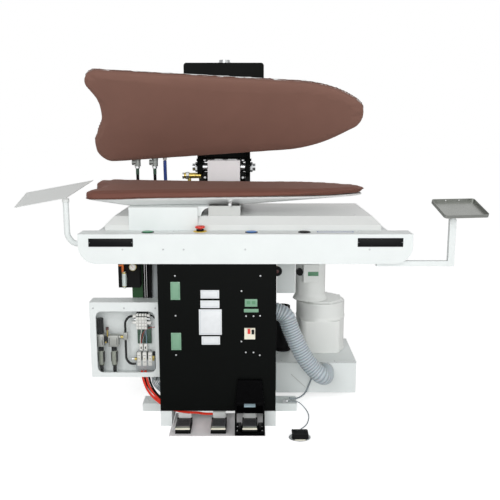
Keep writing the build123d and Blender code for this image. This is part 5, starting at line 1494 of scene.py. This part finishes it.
@dataclass
class AirSet:
    """Filters, valves, wires and fittings behind the window, each made of its own stuff."""

    left: float = BOX_LEFT / MM
    floor: float = BOX_BOTTOM / MM
    wall: float = -248.0  # where the parts are fixed
    axis: float = -285.0  # line through the filters and their tubes

    def box(self, x0: float, x1: float, y0: float, y1: float, z0: float, z1: float, soft: float = 0.8):
        """A rounded block placed from the box's lower left corner."""
        return block(self.left + x0, self.left + x1, y0, y1, self.floor + z0, self.floor + z1, soft)

    def at(self, x: float, z: float, y: float | None = None) -> Point:
        """A point placed from the box's lower left corner, in millimetres."""
        return self.left + x, self.axis if y is None else y, self.floor + z

    def rod(self, start: tuple, end: tuple, radius: float) -> bmesh.types.BMesh:
        """A round bar between two (x, z) or (x, z, y) places in the box."""
        return bar(self.at(*start), self.at(*end), radius)

    def filters(self) -> None:
        """The regulator and the filter, their bowls, link and outlet elbow."""
        y = self.axis
        alloy, black, smoke, dark = [], [], [], []
        for middle, half, top in ((35, 17, 187), (93.5, 22.5, 182)):
            alloy += [
                self.box(middle - half, middle + half, y - 17, y + 17, 130, top, 2.5),
                self.rod((middle, 160, y - 19), (middle, 160, y - 16), 7),
                self.box(middle - 9, middle + 9, y + 16, self.wall, 147, 169),
            ]
            black += [
                self.rod((middle, 106), (middle, 134), 12),
                self.rod((middle, 9), (middle, 45), 8),
                self.rod((middle, 38), (middle, 47), 11),
                self.box(middle + 9, middle + 14.5, y - 9, y + 9, 54, 104, 1.5),
                self.box(middle - 14.5, middle - 12, y - 6, y + 9, 58, 100, 1),
            ]
            smoke.append(self.rod((middle, 44), (middle, 109), 13))
            dark += [self.box(middle + side * (half - 6) - 1, middle + side * (half - 6) + 1, y - 17.3,
                              y - 16.8,
                              138, top - 10, 0.1) for side in (-1, 1)]
        black += [self.rod((35, 185), (35, 201), 16), self.rod((35, 199), (35, 237), 6)]
        black.append(self.box(51, 71.5, y - 12, y + 10, 146, 172, 1.5))
        alloy += [self.rod((115, 171), (125, 171), 9), self.box(137, 156, y - 10, y + 10, 159, 193, 3)]
        brass = [
            self.rod((124, 171), (138, 171), 7), self.rod((66, 170), (66, 206), 4.5),
            self.rod((60, 150, y - 13.5), (60, 150, y - 11), 4),
        ]
        fitted("filter_bodies", alloy, "frame", DIECAST, "air_filters")
        fitted("filter_guards", black, "frame", JET)
        fitted("filter_bowls", smoke, "frame", SMOKE)
        fitted("filter_seams", dark, "frame", MATT)
        fitted("filter_brass", brass, "frame", BRASS)
        fitted("filter_cap", [self.rod((66, 204), (66, 216), 7)], "frame", RED_CORE)

    def valves(self) -> None:
        """The solenoid manifold, the terminal board with its wires, and the lower valve group."""
        back = self.wall
        cream, dark, metal, brass = [], [], [], []
        for step in range(4):
            x = 196 + 12.3 * step
            cream += [
                self.box(x, x + 11, back - 44, back - 20, 208, 263, 1),
                self.box(x + 0.8, x + 10.2, back - 40, back - 20, 267, 279, 1.2),
            ]
            dark += [self.box(x + 1.5, x + 9.5, back - 44.3, back - 43.8, z, z + 1.4, 0.1)
                     for z in (222, 236, 250)]
            metal.append(self.rod((x + 5.5, 243, back - 45), (x + 5.5, 243, back - 43), 1.6))
        dark.append(self.box(196, 245, back - 34, back, 206, 281, 1))
        cream += [self.rod((182, 267), (196, 267), 7.5), self.rod((180, 238), (196, 238), 7),
                  self.rod((245, 271), (258, 271), 6.5), self.rod((245, 236), (262, 236), 7.5)]
        metal += [self.rod((184, 252), (196, 252), 5), self.rod((245, 254), (257, 254), 5.5)]
        board = self.box(196, 258, back - 14, back, 133, 209, 0.6)
        cream += [self.box(x, x + 15, back - 26, back, 103, 135, 1) for x in (205, 225)]
        dark += [self.box(x, x + 5, back - 26.3, back - 25.8, 112, 122, 0.1) for x in (210, 230)]
        lower = [self.box(188, 274, back - 30, back, 14, 59, 2)]
        for x in (203, 228, 253):
            cream.append(self.box(x - 9, x + 9, back - 35, back - 8, 34, 97, 2.5))
            metal.append(self.rod((x, 95, back - 22), (x, 107, back - 22), 6))
            dark += [self.box(x - 6, x + 6, back - 35.3, back - 34.8, z, z + 1.6, 0.1) for z in (52, 82)]
            brass.append(self.rod((x, 68, back - 36), (x, 68, back - 34), 2.4))
        dark.append(self.box(190, 272, back - 22, back, 57, 92, 1))
        brass += [self.rod((184, 68, back - 37), (194, 68, back - 37), 7),
                  self.box(262, 272, back - 34, back - 20, 58, 80, 2)]
        metal.append(self.rod((170, 68, back - 37), (184, 68, back - 37), 5.5))
        fitted("valve_moulding", cream, "frame", DIAL, "air_valves")
        fitted("valve_gaps", dark, "frame", MATT)
        fitted("valve_metal", metal, "frame", ZINC)
        fitted("valve_brass", brass, "frame", BRASS)
        fitted("valve_base", lower, "frame", DUCTING)
        fitted("terminal_board", [board], "frame", CIRCUIT)
        front = back - 19
        rows = (
            ("wire_red", WIRE_RED, ((213, 134), (216, 160), (222, 186), (240, 205), (262, 211),
                                    (296, 211))),
            ("wire_white", DIAL, ((209, 134), (208, 165), (216, 190), (214, 208))),
            ("wire_blue", WIRE_BLUE, ((236, 134), (238, 160), (234, 185), (236, 208))),
            ("wire_black", JET, ((230, 134), (227, 158), (228, 190), (224, 208))),
            ("wire_grey", CABLE_GREY, ((221, 134), (218, 150), (231, 178), (229, 208))),
        )
        for name, finish, line in rows:
            fitted(name, [wire([self.at(x, z, front) for x, z in line], 1.5)], "frame", finish)
        stubs = [self.rod((x, 0.2, -290), (x, 15, -290), 5.5) for x in (216, 232)]
        fitted("hose_stubs", stubs, "frame", RED_HOSE)

    def build(self) -> None:
        """Makes both groups."""
        self.filters()
        self.valves()


@dataclass
class Pedals:
    """The three foot pedals with ribbed treads, and what stands round them."""

    rows: tuple[tuple[str, str, float], ...] = (
        ("left_pedal", "pedal_left", -148.0), ("middle_pedal", "pedal_middle", 4.0),
        ("right_pedal", "pedal_right", 139.0),
    )
    front: float = -488.0
    pin: float = -379.0
    rib_mm: float = 4.4

    def pedal(self, node: str, body: str, x: float) -> None:
        """One pedal: black cap and knuckle, pale front lip, ribbed tread."""
        y0, pin = self.front, self.pin
        black = [
            block(x - 32, x + 32, y0 + 6, pin - 12, 27, 32, 1.2),
            block(x - 31.5, x + 31.5, y0 + 1, y0 + 8, 16, 26, 1.5),
            block(x - 25, x + 25, pin - 13, pin, 23, 30, 1),
        ]
        for side in (-1, 1):
            black.append(bar((x + side * 24.8, pin, 22), (x + side * 4, pin, 22), 6.3))
        fitted(f"{node}_cap", black, body, JET, node)
        lip = [block(x - 31.5, x + 31.5, y0, y0 + 7, 25.5, 32.4, 2.2)]
        fitted(f"{node}_lip", lip, body, CREAM)
        fitted(f"{node}_band", [block(x - 30, x + 30, y0 + 7, y0 + 19, 31, 33.6, 0.8)], body, SMOKE)
        fitted(f"{node}_pad", [block(x - 28, x + 28, y0 + 21, pin - 18, 31, 33.4, 0.8)], body, TREAD)
        spots, y = [], y0 + 24
        while y < pin - 20:
            spots.append((Vector((x, y, 33.4)) * MM, Vector((0, 0, 1)), Vector((1, 0, 0))))
            y += self.rib_mm
        rib = rounded((-0.5, -0.018, -0.2), (0.5, 0.018, 1.0), 0.012, 1)
        row = SmallParts(f"{node} ribs").scatter(f"{node}_ribs", spots, rib, 53.0, 0.5, JET)
        settle(row, body, JET)

    def guard(self) -> None:
        """The tray round the right pedal, its screws, and the bare strip on the hood."""
        x = self.rows[2][2]
        tray = [block(x - 64, x + 64, -497, -398, 3, 4.6, 0.5)]
        tray += [block(x + side * 50 - 14, x + side * 50 + 14, -497, -400, 3, 21, 3) for side in (-1, 1)]
        tray.append(block(x - 60, x + 60, -497, -491.5, 3, 12, 2))
        fitted("guard_tray", tray, "frame", GLOSS)
        spots = [(Vector((x + side * 54, y, 21)) * MM, Vector((0, 0, 1)), Vector((1, 0.4, 0)))
                 for side in (-1, 1) for y in (-485, -446)]
        heads = SmallParts("tray screws").scatter("tray_screws", spots, screw_head(), 7.0, 1.6, ZINC)
        settle(heads, "frame", ZINC)
        strip = rounded((-0.0245, -0.008, -0.001), (0.0245, 0.008, 0.001), 0.0006, 2)
        lean = Matrix.Translation(Vector((x, -431.8, 112)) * MM) @ Matrix.Rotation(math.radians(45), 4, "X")
        strip.transform(lean)
        fitted("guard_strip", [strip], "frame", BARE_STEEL)

    def build(self) -> None:
        """Makes the pedals and the guard's parts."""
        for node, body, x in self.rows:
            self.pedal(node, body, x)
        covers = [block(x - 28.4, x + 28.4, -371.4, -349.6, 3, 56.4, 0.6) for _, _, x in self.rows]
        fitted("pedal_valve_covers", covers, "frame", SHEET_GREY)
        self.guard()


@dataclass
class HingeGroup:
    """Hubs, collars and bolts beside the hinge cover, and the metal elbows under the head."""

    hinge: tuple[float, float] = (251.0, 1095.0)
    sides: tuple[tuple[float, float, float], ...] = ((-97.6, -73.5, -1.0), (92.5, 115.6, 1.0))

    def hubs(self) -> None:
        """Collars on the shaft with the black lugs and bolts above and below them."""
        y, z = self.hinge
        collars, lugs, spots = [], [], []
        for x0, x1, _ in self.sides:
            collars += [bar((x0, y, z), (x1, y, z), 21.5, 40),
                        bar((x0 + 3, y, z), (x0 + 9, y, z), 24.5, 40)]
            lugs += [block(x0, x1, y - 34, y + 20, z - 62, z - 24, 3),
                     block(x0, x1, y - 30, y + 20, z + 27, z + 44, 3)]
            middle = (x0 + x1) / 2
            spots += [(Vector((middle, y - 34, z - 50)) * MM, Vector((0, -1, 0)), Vector((1, 0, 0.3))),
                      (Vector((middle, y - 30, z + 36)) * MM, Vector((0, -1, 0)), Vector((1, 0, 0.3)))]
        fitted("hinge_collars", collars, "head", ZINC)
        fitted("hinge_lugs", lugs, "head", BLACK)
        bolts = SmallParts("hinge bolts").scatter("hinge_bolts", spots, screw_head(), 15.0, 6.0, ZINC)
        settle(bolts, "head", ZINC)

    def elbows(self) -> None:
        """Galvanised elbows, nuts and stems over the casting's plain ones, with the head open."""
        y = 203.0
        iron, nuts, ferrules = [], [], []
        for x in (-418.0, -332.0):
            iron += [
                bar((x, y, 1102), (x, y, 1168), 14.5), bar((x - 26, y, 1122), (x, y, 1122), 12.5, 24, 2),
                bar((x - 28, y, 1122), (x - 19, y, 1122), 14.4, 24, 1.5),
                bar((x, y, 1132), (x, y, 1143), 16.2, 24, 1.5),
            ]
            nuts.append(bar((x - 2, y, 1091), (x - 2, y, 1108), 11.4, 6, 0.8))
            ferrules.append(bar((x - 2, y, 1062), (x - 2, y, 1092), 8.3))
        fitted("head_elbows", iron, "head", GALVANISED)
        fitted("head_nuts", nuts, "head", ZINC)
        fitted("head_ferrules", ferrules, "head", CIRCUIT)

    def build(self) -> None:
        """Makes both groups."""
        self.hubs()
        self.elbows()


@dataclass
class Trim:
    """Small things on the covers: handwheel, bare label plates, painted shadow under the lid, painted shade
    along a pressed crease, foot switch.
    """

    wheel_at: Point = (262.0, -200.0, 657.0)

    def wheel(self) -> None:
        """The moulded handwheel with its dark red centre."""
        turn = Matrix.Translation(Vector(self.wheel_at) * MM) @ Matrix.Rotation(math.radians(90), 4, "X")
        profile = [(4.2, 0), (20, 0), (22.3, 1.6), (22.6, 4), (22.6, 8), (21.4, 10.6), (18, 11.8),
                   (14, 11.2),
                   (9.4, 10.6), (9.2, 11.8), (4.2, 11.8), (4.2, 0)]
        fitted("handwheel", [turned(profile, turn, 56)], "valve_wheel", JET, "side_knob")
        cap = turned([(0, 12.1), (8.6, 12.1), (8.6, 12.6), (7.4, 13.0), (0, 13.1)], turn, 32)
        fitted("handwheel_cap", [cap], "valve_wheel", RED_CORE)

    def labels(self) -> None:
        """Bare plates on the motor's terminal box and on the table strip."""
        motor = [block(421, 472, 19.2, 20, 584, 605, 0.3)]
        fitted("motor_plate", motor, "frame", MINT_DARK)
        fitted("motor_entry", [bar((381, 16, 603), (381, 44, 603), 17, 32, 2)], "frame", JET)
        top = TABLE_TOP / MM
        fitted("strip_plate", [block(424, 578, -372, -345, top, top + 0.8, 0.3)], "frame", DIAL)
        edge = [block(424, 578, y, y + 4, top + 0.6, top + 1.0, 0.1) for y in (-372, -349)]
        edge += [block(x, x + 4, -372, -345, top + 0.6, top + 1.0, 0.1) for x in (424, 574)]
        fitted("strip_border", edge, "frame", BLUE_PRINT)

    def vacuum_lid(self) -> None:
        """A dark strip of painted shadow under the lid, and a grey line of painted shade along the crease
        pressed into the front sheet.
        """
        # Painted shadow: a dark strip along the lid's front and right edges, where the gap under the lid is
        # in shade.
        lid_shadow = [block(264.4, 648.6, -103.6, -101, 186.4, 189.4, 0.3),
                block(647, 649, -103, 261, 186.4, 189.4, 0.3)]
        fitted("lid_seal", lid_shadow, "frame", MATT)
        # Painted shade: a grey bar along the crease stands for the shade in it.
        crease = bar((337, -103.4, 130), (405, -103.4, 65), 1.6, 12)
        fitted("pressed_crease", [crease], "frame", GREY)

    def foot_switch(self) -> None:
        """The loose switch: plated base plate, black treadle and its pale front edge."""
        x, y = 351.0, -507.0
        plate = turned([(0, 0), (36, 0), (37, 0.8), (37, 3), (36, 4), (0, 4)], Matrix.Identity(4), 56)
        for vert in plate.verts:
            vert.co = Vector((x * MM + vert.co.x * 1.27, y * MM + vert.co.y * 1.05, vert.co.z))
        fitted("switch_plate", [plate], "frame", ZINC, "foot_switch_base")
        body = [block(x - 31, x + 31, y - 26, y + 30, 3, 12, 1.5)]
        body += [block(x + side * 28.5 - 3, x + side * 28.5 + 3, y + 17, y + 31, 3, 25, 1)
                 for side in (-1, 1)]
        body.append(bar((x + 7, y + 29, 9), (x + 7, y + 41, 9), 5.5))
        fitted("switch_body", body, "frame", JET)
        fitted("switch_edge", [block(x - 22, x + 22, y - 34.4, y - 33.3, 3.6, 7.6, 0.3)], "frame", CREAM)

    def build(self) -> None:
        """Makes all of them."""
        self.wheel()
        self.labels()
        self.vacuum_lid()
        self.foot_switch()


@dataclass
class Coats:
    """The finish of every CAD node that stays as it is."""

    finishes: tuple[tuple[Finish, tuple[str, ...]], ...] = (
        (WHITE, ("base_frame", "table_fascia", "table_slab", "pedestal_cover", "valve_box_case",
                 "vacuum_box", "tray_arms")),
        # Painted light: the lighter white on two covers that lie in shade.
        (LIT_WHITE, ("hinge_cover", "pedal_plate")),
        # Painted shade: the hood's darker copy of the white enamel.
        (SHADED_HOOD_WHITE, ("table_hood",)),
        (GREY, ("buck_column",)),
        (SHEET_GREY, ("left_tray",)),
        (GREEN, ("body_frame",)),
        (BLACK, ("front_panel", "hinge_column", "head_yoke", "rear_cover", "pedal_bases")),
        (STEEL, ("pivot_shaft", "cylinder_barrel", "cylinder_rod")),
        (STAINLESS, ("right_tray",)),
        (BRASS, ("steam_fittings",)),
        (DIECAST, ("impeller",)),
        (CREAM, ("starter_case",)),
        (RED, ("starter_stop",)),
        (JET, ("starter_start", "regulator_knob", "foot_switch_treadle")),
        (ZINC, ("cable_glands",)),
        (MATT, ("relay_box", "exhaust_pipe")),
        (DUCTING, ("wiring_duct",)),
        (CLEAR, ("valve_box_window",)),
        (RUBBER, ("air_tubes",)),
    )

    def build(self) -> None:
        """Gives each node its material."""
        for finish, names in self.finishes:
            for name in names:
                node = NODES[name]
                node.data.materials.clear()
                node.data.materials.append(finish.material())
            LOG.info("%s on %s", finish.name, ", ".join(names))


def main() -> None:
    """Builds the scene in order: studio and cable first, then the pieces, then the coats."""
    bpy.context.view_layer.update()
    Studio().build()
    SwitchCable().build()
    low_hang = ((-1.0, 9.0), (-0.45, 7.0), (-0.1, 2.0), (0.2, 0.0), (0.34, -6.0), (0.45, -13.0),
                (0.6, -16.0), (1.0, -16.0))
    top_hang = ((-1.0, 9.0), (-0.5, 9.0), (-0.3, 5.0), (0.0, 7.0), (1.0, 9.0))
    # The buck's cover colour carries painted shade from the head above.
    Cushion("buck_cushion", "buck_pad", "frame", press_plane(), 1.0, SHADED_BUCK_COVER, 3.0, -0.030, 0.0,
            low_hang).build()
    Cushion("head_cushion", "head_pad", "head", head_plane(), -1.0, COVER_HEAD, 7.0, 0.031, 0.001,
            top_hang).build()
    Castings().build()
    VacuumHose().build()
    HeadHoses().build()
    Buttons().build()
    Plates().build()
    Fasteners().build()
    Gauge("bleed_gauge", (-0.369, -0.3143, 0.698), 13.0).build()
    Bleed().build()
    LowHoses().build()
    LowHoses().bundle()
    AirSet().build()
    Pedals().build()
    HingeGroup().build()
    Trim().build()
    Coats().build()


if __name__ == "__main__":
    logging.basicConfig(level=logging.INFO, format="%(message)s")
    main()
